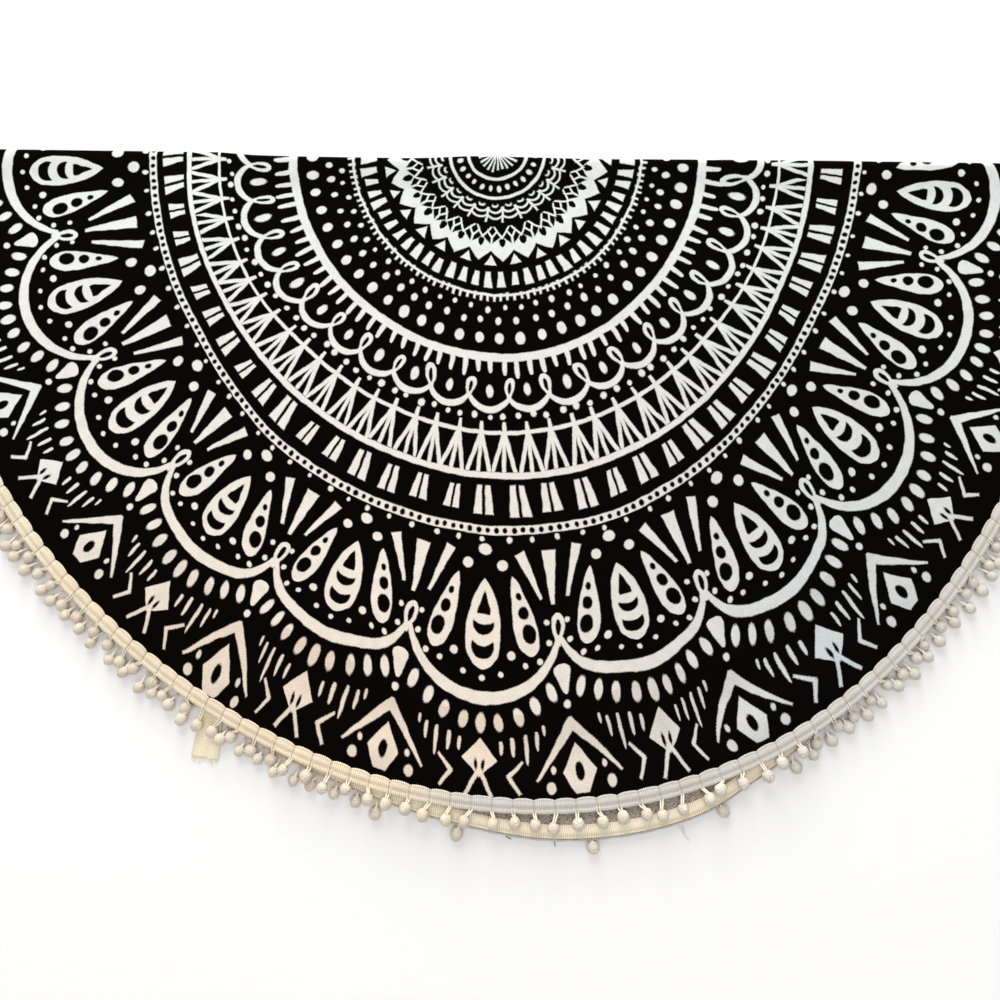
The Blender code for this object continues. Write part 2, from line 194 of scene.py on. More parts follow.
@dataclass(frozen=True)
class Lie:
    """How the towel is folded and lies: its rims and its heights, as in the part."""

    radius: float = 0.750
    cloth: float = 0.0026  # the thickness of the cloth, and below of the braid and the tape
    braid: float = 0.0020
    tape: float = 0.0008
    fold_offset: float = 0.0096  # from the print's middle to the fold
    sewn_gap: float = 0.0004  # between the cloth and a trim
    layer_gap: float = 0.0005  # between the two layers
    rim_flat: float = 0.020  # the rim is level this far in, and slopes down as far as the next
    rim_slope: float = 0.075
    fold_rise: float = 0.0044  # how far the upper layer stands up at the fold, and how far from it
    fold_slope: float = 0.045
    wave_clear: float = 0.060  # over this distance from the flat rim the waves grow
    tuck_height: float = 0.0043  # of the pompoms tucked under the rim, between two angles
    tuck_from: float = -8.0
    tuck_to: float = 26.0
    tuck_fade: float = 14.0
    tail_angle: float = -24.9  # where the tape's loose end comes out between the layers
    fold_middle: tuple[float, float] = (-0.0045, 0.40296)
    rim_pull: Table = (  # angle, share of the radius that the rim is laid outside a true circle
        (-90, -0.014),
        (-60, -0.030),
        (-35, -0.019),
        (-15, 0.007),
        (5, 0.035),
        (16, 0.042),
        (30, 0.034),
        (60, -0.010),
        (90, -0.003),
    )
    rim_peek: Table = (  # angle, how far the lower rim lies beyond the upper one
        (-90, 0.000),
        (-50, -0.002),
        (-30, 0.001),
        (-20, 0.005),
        (-12, 0.0095),
        (-2, 0.021),
        (6, 0.031),
        (17, 0.030),
        (23, 0.016),
        (30, 0.004),
        (50, -0.002),
        (90, 0.000),
    )
    fold_sag: Table = (  # x, how far the fold's line lies short of straight
        (-0.350, 0.0000),
        (-0.300, 0.0032),
        (-0.170, 0.0042),
        (-0.090, 0.0036),
        (-0.030, 0.0004),
        (0.050, 0.0010),
        (0.120, 0.0020),
        (0.200, 0.0012),
        (0.400, 0.0000),
    )
    sag_fade: float = 0.070  # the sag reaches this far from the fold
    # The upper layer's soft waves: x, y from the fold, length, width, height, turn in degrees.
    waves: tuple[tuple[float, ...], ...] = (
        (-0.372, -0.130, 0.200, 0.050, 0.0080, 4),
        (-0.560, -0.200, 0.160, 0.070, 0.0050, -28),
        (-0.130, -0.560, 0.110, 0.060, 0.0030, 30),
        (0.560, -0.270, 0.190, 0.080, 0.0050, 38),
        (0.210, -0.130, 0.180, 0.090, 0.0022, 60),
    )

    def upper_reach(self, angle: float) -> float:
        """Returns the distance from the fold's middle to the upper layer's rim."""
        shift = self.fold_offset * math.cos(math.radians(angle))
        return self.radius * (1 + along(self.rim_pull, angle)) - shift

    def lower_reach(self, angle: float) -> float:
        """Returns the distance from the fold's middle to the lower layer's rim."""
        return self.upper_reach(angle) + along(self.rim_peek, angle)

    def tuck_lift(self, angle: float) -> float:
        """Returns how much the pompoms tucked under the lower rim raise it."""
        outside = max(self.tuck_from - angle, angle - self.tuck_to, 0.0)
        return self.tuck_height * eased(1 - outside / self.tuck_fade)

    def rim_share(self, inward: float) -> float:
        """Returns 1 on the flat rim, falling to 0 where the rise towards it starts."""
        return eased(1 - (inward - self.rim_flat) / (self.rim_slope - self.rim_flat))

    def wave(self, x: float, y: float, inward: float) -> float:
        """Works out the upper layer's soft waves, which fade towards its rim.

        Args:
            x: the point's x from the fold's middle.
            y: its y.
            inward: its distance in from the rim.

        Returns:
            The height they add.
        """
        total = 0.0
        for wave_x, wave_y, length, width, height, degrees in self.waves:
            turn = math.radians(degrees)
            across = (x - wave_x) * math.cos(turn) + (y - wave_y) * math.sin(turn)
            down = (y - wave_y) * math.cos(turn) - (x - wave_x) * math.sin(turn)
            total += height * math.exp(-((across / width) ** 2) - (down / length) ** 2)
        return total * eased((inward - self.rim_flat) / self.wave_clear)

    def lower_base(self, angle: float, inward: float) -> float:
        """Returns the height of the lower layer's underside."""
        return (self.braid + self.sewn_gap + self.tuck_lift(angle)) * self.rim_share(inward)

    def upper_base(self, angle: float, inward: float) -> float:
        """Works out the upper layer's underside, clear of the lower layer.

        Args:
            angle: the angle in degrees.
            inward: the distance in from the upper rim.

        Returns:
            Its height over the surface.
        """
        below = max(inward - self.rim_flat, 0.0) + max(along(self.rim_peek, angle), 0.0)
        tape_rise = self.sewn_gap + self.tape
        height = self.lower_base(angle, below) + self.cloth + tape_rise * self.rim_share(below)
        height += self.layer_gap + tape_rise * self.rim_share(inward)
        place = level(angle, self.upper_reach(angle) - inward)
        by_fold = self.fold_rise * eased(1 + place.y / self.fold_slope)
        height += by_fold * (1 - self.rim_share(inward))
        return height + self.wave(place.x, place.y, inward) * eased(-place.y / self.fold_slope)

    def in_frame(self, point: Vector) -> Vector:
        """Moves a point from the fold's middle to the part's frame."""
        return point + Vector((*self.fold_middle, 0.0))

    def folded(self, flat: Vector) -> Vector:
        """Lays a point of the spread cloth's middle surface where it goes on the folded towel.

        Args:
            flat: the point from the fold's middle, with the cloth beyond the fold at +Y.

        Returns:
            The point on the folded towel, from the fold's middle.
        """
        side = -1.0 if flat.x < 0 else 1.0
        upper = self.upper_base(90 * side, self.upper_reach(90 * side) - abs(flat.x))
        lower = self.lower_base(90 * side, self.lower_reach(90 * side) - abs(flat.x))
        half = (upper - lower) / 2
        beyond = flat.y - math.pi * half
        if flat.y <= 0 or beyond >= 0:
            y = flat.y if flat.y <= 0 else -beyond
            angle, out = math.degrees(math.atan2(flat.x, -y)), math.hypot(flat.x, y)
            reach = self.upper_reach(angle) if flat.y <= 0 else self.lower_reach(angle)
            base = self.upper_base if flat.y <= 0 else self.lower_base
            height = base(angle, reach - out) + self.cloth / 2
        else:
            y = half * math.sin(flat.y / half)
            height = (upper + lower + self.cloth) / 2 + half * math.cos(flat.y / half)
        sag = along(self.fold_sag, flat.x) * eased(1 + min(y, 0.0) / self.sag_fade)
        return Vector((flat.x, y - sag, height))


LIE = Lie()


class Face(Enum):
    """The face of the cloth that a trim is sewn on: 1 for outwards, -1 for inwards."""

    PRINTED = 1
    REVERSE = -1


@dataclass(frozen=True)
class RimPath:
    """The path of a trim round the whole rim, over both layers and round both ends of the fold."""

    face: Face
    a_layer: int = 102  # pompoms on one layer
    stagger: float = 0.25  # in pitches, so that the two rows don't lie in line

    @property
    def pitches(self) -> int:
        """Returns the number of pompom pitches round the whole rim."""
        return 2 * self.a_layer + 2

    def station(self, place: float) -> tuple[float, float]:
        """Finds where a place lies.

        Args:
            place: the distance round the rim from the first pompom of the upper layer, in pitches.

        Returns:
            Its angle in degrees and its turn round the fold, 0 on the upper layer and pi below.
        """
        place = (place + self.stagger) % self.pitches
        pitch = 180 / self.a_layer
        if place <= self.a_layer:
            return -90 + place * pitch, 0.0
        if place <= self.a_layer + 1:
            return 90.0, math.pi * (place - self.a_layer)
        if place <= 2 * self.a_layer + 1:
            return 90 - (place - self.a_layer - 1) * pitch, math.pi
        return -90.0, math.pi * (self.pitches - place)

    def point(self, place: float, inset: float, rise: float) -> Vector:
        """Finds a point of the trim.

        Args:
            place: the distance round the rim, in pitches.
            inset: the distance inwards from the cloth's rim.
            rise: the distance off the cloth's face.

        Returns:
            The point, in the part's frame.
        """
        angle, turn = self.station(place)
        under = (1 - math.cos(turn)) / 2
        reach = LIE.upper_reach(angle) * (1 - under) + LIE.lower_reach(angle) * under
        upper, lower = LIE.upper_base(angle, 0.0), LIE.lower_base(angle, 0.0)
        if self.face is Face.PRINTED:
            upper += LIE.cloth
        else:
            lower += LIE.cloth
        half = (upper - lower) / 2 + rise * self.face.value
        point = level(angle, reach - inset, (upper + lower) / 2 + math.cos(turn) * half)
        point.y += math.sin(turn) * half
        return LIE.in_frame(point)

    def below(self, place: float) -> bool:
        """Returns whether a place is on the lower layer."""
        return self.station(place)[1] > math.pi / 2

    def outward(self, place: float) -> Vector:
        """Finds the level direction square to the rim.

        Args:
            place: a place on one of the layers, in pitches.

        Returns:
            The direction, away from the towel.
        """
        near = 0.1
        run = self.point(place + near, 0.0, 0.0) - self.point(place - near, 0.0, 0.0)
        if self.below(place):
            run = -run
        return Vector((run.y, -run.x, 0)).normalized()


# ---------------------------------------------------------------- the print, drawn by nodes


class Field:
    """A number that varies over a surface: one output of a node, with sums on it."""

    def __init__(self, tree: bpy.types.NodeTree, socket: bpy.types.NodeSocket) -> None:
        """Keeps the tree and the output."""
        self.tree = tree
        self.socket = socket

    def sum(self, operation: str, *others: Value) -> Field:
        """Works out a sum on this number and others.

        Args:
            operation: the sum's name in Blender.
            others: the other numbers.

        Returns:
            The result.
        """
        links = dict(enumerate((self, *others)))
        node = add_node(self.tree, "Math", links, operation=operation)
        return Field(self.tree, node.outputs[0])

    def __add__(self, other: Value) -> Field:
        """Adds."""
        return self.sum("ADD", other)

    def __sub__(self, other: Value) -> Field:
        """Subtracts."""
        return self.sum("SUBTRACT", other)

    def __rsub__(self, other: float) -> Field:
        """Subtracts this from a number."""
        return self.sum("MULTIPLY_ADD", -1.0, other)

    def __mul__(self, other: Value) -> Field:
        """Multiplies."""
        return self.sum("MULTIPLY", other)

    def __abs__(self) -> Field:
        """Drops the sign."""
        return self.sum("ABSOLUTE")

    def line(self, slope: Value, start: Value) -> Field:
        """Returns start + slope times this."""
        return self.sum("MULTIPLY_ADD", slope, start)

    def most(self, *others: Value) -> Field:
        """Takes the greatest of these.

        Args:
            others: the other numbers.

        Returns:
            The greatest, which joins shapes.
        """
        found = self
        for other in others:
            found = found.sum("MAXIMUM", other)
        return found

    def least(self, *others: Value) -> Field:
        """Takes the smallest of these.

        Args:
            others: the other numbers.

        Returns:
            The smallest, which keeps what shapes share.
        """
        found = self
        for other in others:
            found = found.sum("MINIMUM", other)
        return found

    def without(self, *holes: Field) -> Field:
        """Returns this shape with others cut out of it."""
        return self.least(*(hole * -1.0 for hole in holes))


class Spot:
    """A point on the print, in millimetres, as one node output that holds x, y and z."""

    def __init__(self, tree: bpy.types.NodeTree, socket: bpy.types.NodeSocket) -> None:
        """Keeps the tree and the output.

        Args:
            tree: the node tree.
            socket: the output that holds the point.
        """
        self.tree = tree
        self.socket = socket
        self._parts: bpy.types.Node | None = None

    def part(self, number: int) -> Field:
        """Takes one coordinate.

        Args:
            number: which, from 0.

        Returns:
            The coordinate.
        """
        if self._parts is None:
            self._parts = add_node(self.tree, "SeparateXYZ", {0: self.socket})
        return Field(self.tree, self._parts.outputs[number])

    @property
    def x(self) -> Field:
        """Returns the distance along the ring."""
        return self.part(0)

    @property
    def y(self) -> Field:
        """Returns the distance outwards."""
        return self.part(1)

    def vector(self, operation: str, *others: object) -> bpy.types.Node:
        """Adds a vector sum on this point."""
        links = dict(enumerate((self.socket, *others)))
        return add_node(self.tree, "VectorMath", links, operation=operation)

    def mirrored(self) -> Spot:
        """Returns the point with its left half laid on its right."""
        return Spot(self.tree, self.vector("ABSOLUTE").outputs[0])

    def seen_from(
        self, x: float, y: float, degrees: float = 0.0, wide: float = 1.0, long: float = 1.0
    ) -> Spot:
        """Measures the point from another place, turned, in units of a width and a length.

        Args:
            x: the place's x.
            y: the place's y.
            degrees: how far its own y axis is turned from this one's towards +x.
            wide: the unit of the new x.
            long: the unit of the new y.

        Returns:
            The point in the new coordinates.
        """
        turn = (0, 0, -math.radians(degrees))
        links = {"Vector": self.socket, "Location": (x, y, 0), "Rotation": turn}
        links["Scale"] = (wide, long, 1)
        node = add_node(self.tree, "Mapping", links, vector_type="TEXTURE")
        return Spot(self.tree, node.outputs[0])

    def oval(
        self, x: float, y: float, wide: float, long: float | None = None, degrees: float = 0.0
    ) -> Field:
        """Draws an oval.

        Args:
            x: its middle's x.
            y: its middle's y.
            wide: half its width.
            long: half its length, or nothing for a round dot.
            degrees: how far its length leans towards +x.

        Returns:
            The depth inside it in millimetres, below 0 outside.
        """
        long = wide if long is None else long
        far = self.seen_from(x, y, degrees, wide, long).vector("LENGTH").outputs["Value"]
        small = min(wide, long)
        return Field(self.tree, far).line(-small, small)

    def circle(self, y: float, radius: float) -> Field:
        """Returns how far inside a circle on the middle line the point is."""
        far = self.seen_from(0.0, y).vector("LENGTH").outputs["Value"]
        return radius - Field(self.tree, far)

    def bar(
        self, start: tuple[float, float], end: tuple[float, float], first: float, last: float
    ) -> Field:
        """Draws a straight bar with square ends that can taper.

        Args:
            start: one end.
            end: the other end.
            first: half its width at the start.
            last: half its width at the end.

        Returns:
            The depth inside it.
        """
        run = (end[0] - start[0], end[1] - start[1])
        length = math.hypot(*run)
        middle = ((start[0] + end[0]) / 2, (start[1] + end[1]) / 2)
        seen = self.seen_from(*middle, math.degrees(math.atan2(*run)))
        side = seen.y.line((last - first) / length, (first + last) / 2) - abs(seen.x)
        return side.least(length / 2 - abs(seen.y))

    def leaf(
        self,
        start: tuple[float, float],
        end: tuple[float, float],
        shape: Table,
        straight: bool = False,
    ) -> Field:
        """Draws a leaf, drop, wedge or diamond.

        Args:
            start: one tip.
            end: the other tip.
            shape: rows of share of the length and half width in millimetres.
            straight: whether its sides run straight from row to row.

        Returns:
            The depth inside it.
        """
        run = (end[0] - start[0], end[1] - start[1])
        length = math.hypot(*run)
        seen = self.seen_from(*start, math.degrees(math.atan2(*run)), long=length)
        widest = max(width for _, width in shape)
        node = add_node(self.tree, "FloatCurve", {"Value": seen.y})
        curve = node.mapping.curves[0]
        rows = [(share, width / widest) for share, width in shape]
        curve.points[0].location, curve.points[1].location = rows[0], rows[-1]
        for row in rows[1:-1]:
            curve.points.new(*row)
        for point in curve.points:
            point.handle_type = "VECTOR" if straight else "AUTO"
        node.mapping.update()
        inside = Field(self.tree, node.outputs[0]).line(widest, -0.5) - abs(seen.x)
        return inside.least(seen.y * length, seen.y.line(-length, length))


@dataclass(frozen=True)
class Shake:
    """How much a drawn motif varies: its place along and across in mm, its size and its lean."""

    along: float = 1.2
    across: float = 1.0
    size: float = 0.16
    lean: float = 0.0


class Print:
    """The print's coordinates on the cloth in one material, and its rows of repeats."""

    WANDERS = ((3.0, 70.0), (1.7, 11.0))  # how far the drawing wanders and over what length, in mm
    SEED_STEP = 1000.0  # keeps the random numbers of two rows apart

    def __init__(self, tree: bpy.types.NodeTree) -> None:
        """Reads the flat cloth's coordinates and makes them a little unsteady.

        Args:
            tree: the material's node tree.
        """
        self.tree = tree
        uv = add_node(tree, "UVMap", uv_map="flat")
        flat = Spot(tree, uv.outputs[0]).vector("SCALE")
        flat.inputs["Scale"].default_value = 1 / MM
        self.flat = flat.outputs[0]
        point = Spot(tree, self.flat)
        for reach_mm, scale_mm in self.WANDERS:
            links = {"Vector": self.flat, "Scale": 1 / scale_mm, "Detail": 0.0}
            drift = add_node(tree, "TexNoise", links)
            chance = Spot(tree, drift.outputs["Color"])
            moved = chance.vector("MULTIPLY_ADD", (reach_mm, reach_mm, 0), point.socket)
            back = Spot(tree, moved.outputs[0]).vector("SUBTRACT", (reach_mm / 2, reach_mm / 2, 0))
            point = Spot(tree, back.outputs[0])
        self.mottle = Field(tree, drift.outputs["Fac"])
        self.radius = Field(tree, point.vector("LENGTH").outputs["Value"])
        self.angle = point.x.sum("ARCTAN2", point.y * -1.0)

    def _repeat(self, count: int, middle: float, seed: int) -> tuple[Field, Spot]:
        """Divides the ring into equal repeats.

        Args:
            count: how many.
            middle: the angle of one repeat's middle, in degrees.
            seed: sets its random numbers.

        Returns:
            The angle from the repeat's own middle, in radians, and its random numbers.
        """
        pitch = 2 * math.pi / count
        turns = self.angle.line(1 / pitch, count + 0.5 - math.radians(middle) / pitch)
        inside = (turns.sum("FRACT") - 0.5) * pitch
        number = turns.sum("FLOOR").sum("MODULO", float(count)) + self.SEED_STEP * seed
        chance = add_node(self.tree, "TexWhiteNoise", {"W": number}, noise_dimensions="1D")
        return inside, Spot(self.tree, chance.outputs["Color"])

    def row(
        self, count: int, middle: float, radius: float, seed: int, shake: Shake = Shake()
    ) -> Spot:
        """Makes a row of small repeats round the ring.

        Args:
            count: how many.
            middle: the angle of one repeat's middle, in degrees.
            radius: the ring's radius, about which they vary in size.
            seed: sets its random numbers.
            shake: how much they vary.

        Returns:
            The point from the repeat's middle line (x) and from the print's middle (y).
        """
        inside, chance = self._repeat(count, middle, seed)
        x = inside * self.radius + chance.x.line(shake.along, -shake.along / 2)
        y = self.radius - radius + chance.y.line(shake.across, -shake.across / 2)
        if shake.lean:
            x = x + y * chance.part(2).line(shake.lean, -shake.lean / 2)
        if shake.size:
            size = chance.part(2).line(shake.size, 1 - shake.size / 2)
            x, y = x * size, y * size
        joined = add_node(self.tree, "CombineXYZ", {0: x, 1: y + radius})
        return Spot(self.tree, joined.outputs[0])

    def sector(self, count: int, middle: float, seed: int, shake: Shake = Shake()) -> Spot:
        """Makes large repeats round the ring, each drawn square and not bent along it.

        Args:
            count: how many.
            middle: the angle of one repeat's middle, in degrees.
            seed: sets its random numbers.
            shake: how much they vary in place.

        Returns:
            The point from the repeat's middle line (x) and from the print's middle (y).
        """
        inside, chance = self._repeat(count, middle, seed)
        x = inside.sum("SINE") * self.radius + chance.x.line(shake.along, -shake.along / 2)
        y = inside.sum("COSINE") * self.radius + chance.y.line(shake.across, -shake.across / 2)
        joined = add_node(self.tree, "CombineXYZ", {0: x, 1: y})
        return Spot(self.tree, joined.outputs[0])

    def ring(self, radius: float, half: float) -> Field:
        """Draws a plain ring of a half width."""
        return half - abs(self.radius - radius)


def sunburst_and_scallops(p: Print) -> Field:
    """Draws the print's middle: rays, two rings, dots and double scallops with crossed joints.

    Args:
        p: the print's coordinates on the cloth.

    Returns:
        The depth inside the ink, below 0 outside it.
    """
    ray = p.row(24, 2.0, 20.0, 1, Shake(0.8, 7.0, 0.0))
    rays = (ray.y.line(0.036, 0.45) - abs(ray.x)).least(24.5 - ray.y)
    dots = p.row(27, 2.4, 48.2, 2, Shake(1.0, 1.5, 0.2)).oval(0, 48.2, 2.6, 3.5)
    cell = p.row(26, 10.6, 72.0, 3, Shake(0.8, 0.8, 0.0))
    smile = cell.oval(0, 69.0, 3.9, 2.3).without(cell.oval(0, 66.8, 3.3, 2.2))
    inner = (1.3 - abs(cell.circle(67.9, 10.1))).least(cell.y - 71.0)
    outer = (1.15 - abs(cell.circle(71.3, 14.2))).least(cell.y - 79.5)
    joint = p.row(26, 3.68, 80.0, 4, Shake(0.8, 0.8, 0.0, 0.3))
    ticks = joint.bar((0, 71.5), (0, 90.5), 1.7, 1.2)
    return rays.most(p.ring(36.8, 1.8), p.ring(59.8, 2.0), dots, smile, inner, outer, ticks)


def net_and_points(p: Print) -> Field:
    """Draws a net that runs out into a thick zigzag, with a triangle in each notch.

    Args:
        p: the print's coordinates on the cloth.

    Returns:
        The depth inside the ink, below 0 outside it.
    """
    cell = p.row(28, 8.4, 115.0, 5, Shake(1.4, 2.0, 0.0))
    # The share is 0 at a notch of the zigzag and 1 at a point.
    share = abs(cell.x).sum("DIVIDE", cell.y * (math.pi / 28))
    low = (1.9 - abs(cell.y - share.line(-16.0, 109.5))).least(share.line(-20.0, 11.0))
    high = (1.9 - abs(cell.y - share.line(16.0, 93.5))).least(cell.y - 95.8)
    post = (1.35 - abs(cell.x)).least(cell.y - 107.0, 121.0 - cell.y)
    solid = (share.line(13.5, 126.0) - cell.y).least(cell.y - share.line(-11.5, 119.0)) * 0.75
    point = p.row(28, 8.4 + 180 / 28, 115.0, 6, Shake(1.0, 2.0, 0.25))
    heart = ((0, 1.8), (0.32, 4.9), (0.8, 3.6), (1, 1.0))
    hole = point.leaf((0, 110.5), (0, 122.5), heart, straight=True)
    notch = p.row(28, 8.4, 139.0, 7, Shake(2.0, 2.0, 0.2))
    wedge = ((notch.y - 131.6) * 0.58 - abs(notch.x)).least(143.8 - notch.y)
    return low.most(high, post, solid.without(hole), wedge)


def bars_and_dots(p: Print) -> Field:
    """Draws trapezoid bars, a thin ring with short ticks, and three rows of growing dots.

    Args:
        p: the print's coordinates on the cloth.

    Returns:
        The depth inside the ink, below 0 outside it.
    """
    block = p.row(64, 0.9, 163.0, 8, Shake(2.4, 1.5, 0.26, 0.2))
    bars = block.bar((0, 153.8), (0, 172.0), 2.9, 5.1)
    tick = p.row(140, 0.4, 185.0, 9, Shake(1.6, 2.4, 0.0))
    ticks = tick.bar((0, 180.0), (0, 188.8), 1.9, 1.3)
    small = p.row(62, 1.6, 198.5, 10, Shake(4.0, 4.0, 0.4)).oval(0, 198.5, 2.9, 3.4)
    middle = p.row(62, -0.5, 213.4, 11, Shake(3.2, 2.5, 0.3)).oval(0, 213.4, 3.6, 4.5)
    large = p.row(60, 0.0, 235.0, 12, Shake(2.4, 1.6, 0.22)).oval(0, 235.0, 5.5, 6.9)
    return bars.most(p.ring(182.0, 1.5), ticks, small, middle, large)


def drips_and_curls(p: Print) -> Field:
    """Draws a thick ring with drips, a chain of scallops with a curl at each joint, and dots.

    Args:
        p: the print's coordinates on the cloth.

    Returns:
        The depth inside the ink, below 0 outside it.
    """
    drip = p.row(108, 0.8, 268.0, 13, Shake(3.2, 7.0, 0.0, 0.2))
    drips = drip.leaf((0, 256.0), (0, 279.5), ((0, 3.3), (0.72, 3.1), (0.92, 2.4), (1, 0)))
    cell = p.row(40, -2.8, 300.0, 14, Shake(1.6, 2.0, 0.0))
    arc = (cell.y.line(0.115, -32.7) - abs(cell.circle(291.0, 27.2))).least(cell.y - 303.5)
    ovals = p.row(40, -2.8, 297.0, 15, Shake(2.5, 3.0, 0.2)).oval(0, 297.0, 4.3, 7.6)
    joint = p.row(40, 1.7, 304.0, 16, Shake(1.2, 1.5, 0.2, 0.55))
    curl = ((0, 0), (0.08, 4.6), (0.28, 6.9), (0.52, 6.4), (0.82, 3.6), (1, 2.8))
    loop = joint.leaf((0, 280.5), (0, 306.5), curl)
    hole = joint.leaf((0, 285.8), (0, 301.0), ((0, 0), (0.25, 2.5), (0.5, 2.7), (1, 0)))
    dots = p.row(120, 0.6, 326.8, 17, Shake(5.0, 4.5, 0.4)).oval(0, 326.8, 3.2, 3.5)
    return p.ring(257.6, 4.8).most(drips, arc, ovals, loop.without(hole), dots)


def branches(p: Print) -> Field:
    """Draws trunks that cross a thin ring and branch down to a line, as in a row of firs.

    Args:
        p: the print's coordinates on the cloth.

    Returns:
        The depth inside the ink, below 0 outside it.
    """
    cell = p.row(80, 0.5, 340.0, 18, Shake(3.4, 2.5, 0.0, 0.1))
    side = abs(cell.x)
    trunk = (cell.y.line(0.09, -28.3) - side).least(2.4 - side, 352.0 - cell.y)
    spread = cell.y.line(0.283, -95.2)
    fir = (spread - side).least(cell.y - 346.0, 392.0 - cell.y)
    slit = (side - 2.2).least(spread - 5.0 - side)
    found = trunk.most(fir.without(slit), p.ring(345.6, 2.3), p.ring(395.0, 3.5))
    return found.least(399.2 - p.radius)


def pairs_and_beads(p: Print) -> Field:
    """Draws pairs of tapered bars with a slit between, and a white band pierced by beads.

    Args:
        p: the print's coordinates on the cloth.

    Returns:
        The depth inside the ink, below 0 outside it.
    """
    cell = p.row(70, -2.8, 421.0, 19, Shake(3.0, 3.0, 0.32, 0.2))
    side = abs(cell.x)
    pair = (cell.y.line(0.135, -48.0) - side).least(side - 1.75, cell.y - 407.0, 437.0 - cell.y)
    beads = p.row(284, 0.3, 454.6, 20, Shake(1.4, 1.0, 0.2)).oval(0, 454.6, 2.8, 3.2)
    return pair.most(p.ring(454.6, 4.9).without(beads))


PETALS = 21
PETAL_MIDDLE = -2.6
JOINT_MIDDLE = PETAL_MIDDLE + 180 / PETALS
PETAL_SHAKE = Shake(2.5, 2.0)
DASH = ((0, 0.5), (0.22, 1.15), (0.75, 1.0), (1, 0.35))  # share of its length and of its half width


def ovals_under(cell: Spot) -> Field:
    """Draws the ovals that follow a large scallop's outer side.

    Args:
        cell: the point from the middle line of one repeat, its halves laid on each other.

    Returns:
        The depth inside the ink, below 0 outside it.
    """
    found = cell.oval(0, 656.8, 5.4, 10.0)
    for x, y, wide, long, lean in (
        (19.4, 655.0, 5.1, 8.8, 12),
        (41.0, 647.5, 5.0, 9.0, 18),
        (58.5, 635.0, 5.1, 9.3, 21),
        (76.0, 620.5, 5.2, 9.8, 25),
    ):
        found = found.most(cell.oval(x, y, wide, long, lean))
    return found


def drops(cell: Spot) -> Field:
    """Draws a petal's three drops with the dark shapes inside them.

    Args:
        cell: the point from the middle line of one repeat, its halves laid on each other.

    Returns:
        The depth inside the ink, below 0 outside it.
    """
    drop = ((0, 0), (0.13, 8.6), (0.34, 16.2), (0.55, 19.6))
    drop = (*drop, (0.76, 19.0), (0.92, 12.4), (0.975, 6.4), (1, 0))
    middle = cell.leaf((0, 507.0), (0, 603.2), drop)
    tent = ((0, 0), (0.2, 2.6), (0.5, 5.2), (0.9, 8.0), (1, 7.2))
    top = cell.leaf((0, 519.5), (0, 545.5), tent)
    upper = cell.circle(555.2, 11.6).without(cell.circle(537.9, 18.2))
    lower = cell.circle(579.3, 12.8).without(cell.circle(562.7, 15.8))
    slim = ((0, 0), (0.1, 4.6), (0.27, 7.8), (0.5, 12.0))
    slim = (*slim, (0.72, 13.6), (0.87, 11.4), (0.95, 7.6), (1, 0))
    outer = cell.leaf((30.0, 502.5), (55.6, 584.5), slim)
    small = cell.oval(37.9, 524.0, 3.2, 4.2, 17)
    larger = cell.oval(44.0, 541.0, 5.9, 7.2, 17)
    largest = cell.oval(51.6, 562.0, 7.8, 10.3, 17)
    return middle.most(outer).without(top, upper, lower, small.most(larger, largest))


def petals(p: Print) -> Field:
    """Draws the large petals, the scallops that hold them, rays, curls and dots.

    Args:
        p: the print's coordinates on the cloth.

    Returns:
        The depth inside the ink, below 0 outside it.
    """
    cell = p.sector(PETALS, PETAL_MIDDLE, 21, PETAL_SHAKE).mirrored()
    bow = cell.circle(551.6, 87.0).without(cell.circle(542.1, 83.5)).least(cell.y - 563.0)
    dots = cell.oval(0, 476.2, 7.1, 5.9).most(cell.oval(19.4, 492.2, 5.7))
    for x, y, size in (
        (70.5, 549.0, 2.9),
        (73.5, 569.5, 3.1),
        (63.5, 589.0, 3.2),
        (47.5, 595.0, 3.0),
        (31.8, 585.5, 4.5),
        (20.8, 606.5, 3.0),
        (0.0, 612.0, 3.0),
    ):
        dots = dots.most(cell.oval(x, y, size))
    small = p.row(106, 0.7, 464.6, 22, Shake(6.0, 1.2, 0.3)).oval(0, 464.6, 2.6, 2.9)
    joint = p.sector(PETALS, JOINT_MIDDLE, 23, PETAL_SHAKE)
    rays = joint.bar((0.8, 478.0), (-0.6, 535.5), 7.9, 2.0)
    rays = rays.most(joint.bar((33.2, 475.0), (16.5, 529.0), 5.4, 1.7))
    rays = rays.most(joint.bar((-32.2, 478.0), (-13.5, 529.0), 5.7, 1.7))
    curl = ((0, 0), (0.07, 4.6), (0.25, 7.7), (0.5, 7.2), (0.78, 4.2), (1, 3.0))
    loop = joint.leaf((3.4, 545.0), (-1.2, 579.0), curl)
    hole = joint.leaf((3.0, 551.0), (0.6, 568.0), ((0, 0), (0.25, 3.1), (0.5, 3.4), (1, 0)))
    wedge = ((0, 0), (0.06, 6.6), (0.22, 9.8), (0.45, 8.0), (0.75, 5.0), (0.93, 3.0), (1, 0))
    pick = joint.leaf((-1.0, 597.0), (0.2, 628.8), wedge)
    point = joint.oval(0.2, 638.6, 3.8, 4.3)
    found = bow.most(dots, small, rays, loop.without(hole), pick, point)
    return found.most(drops(cell), ovals_under(cell))


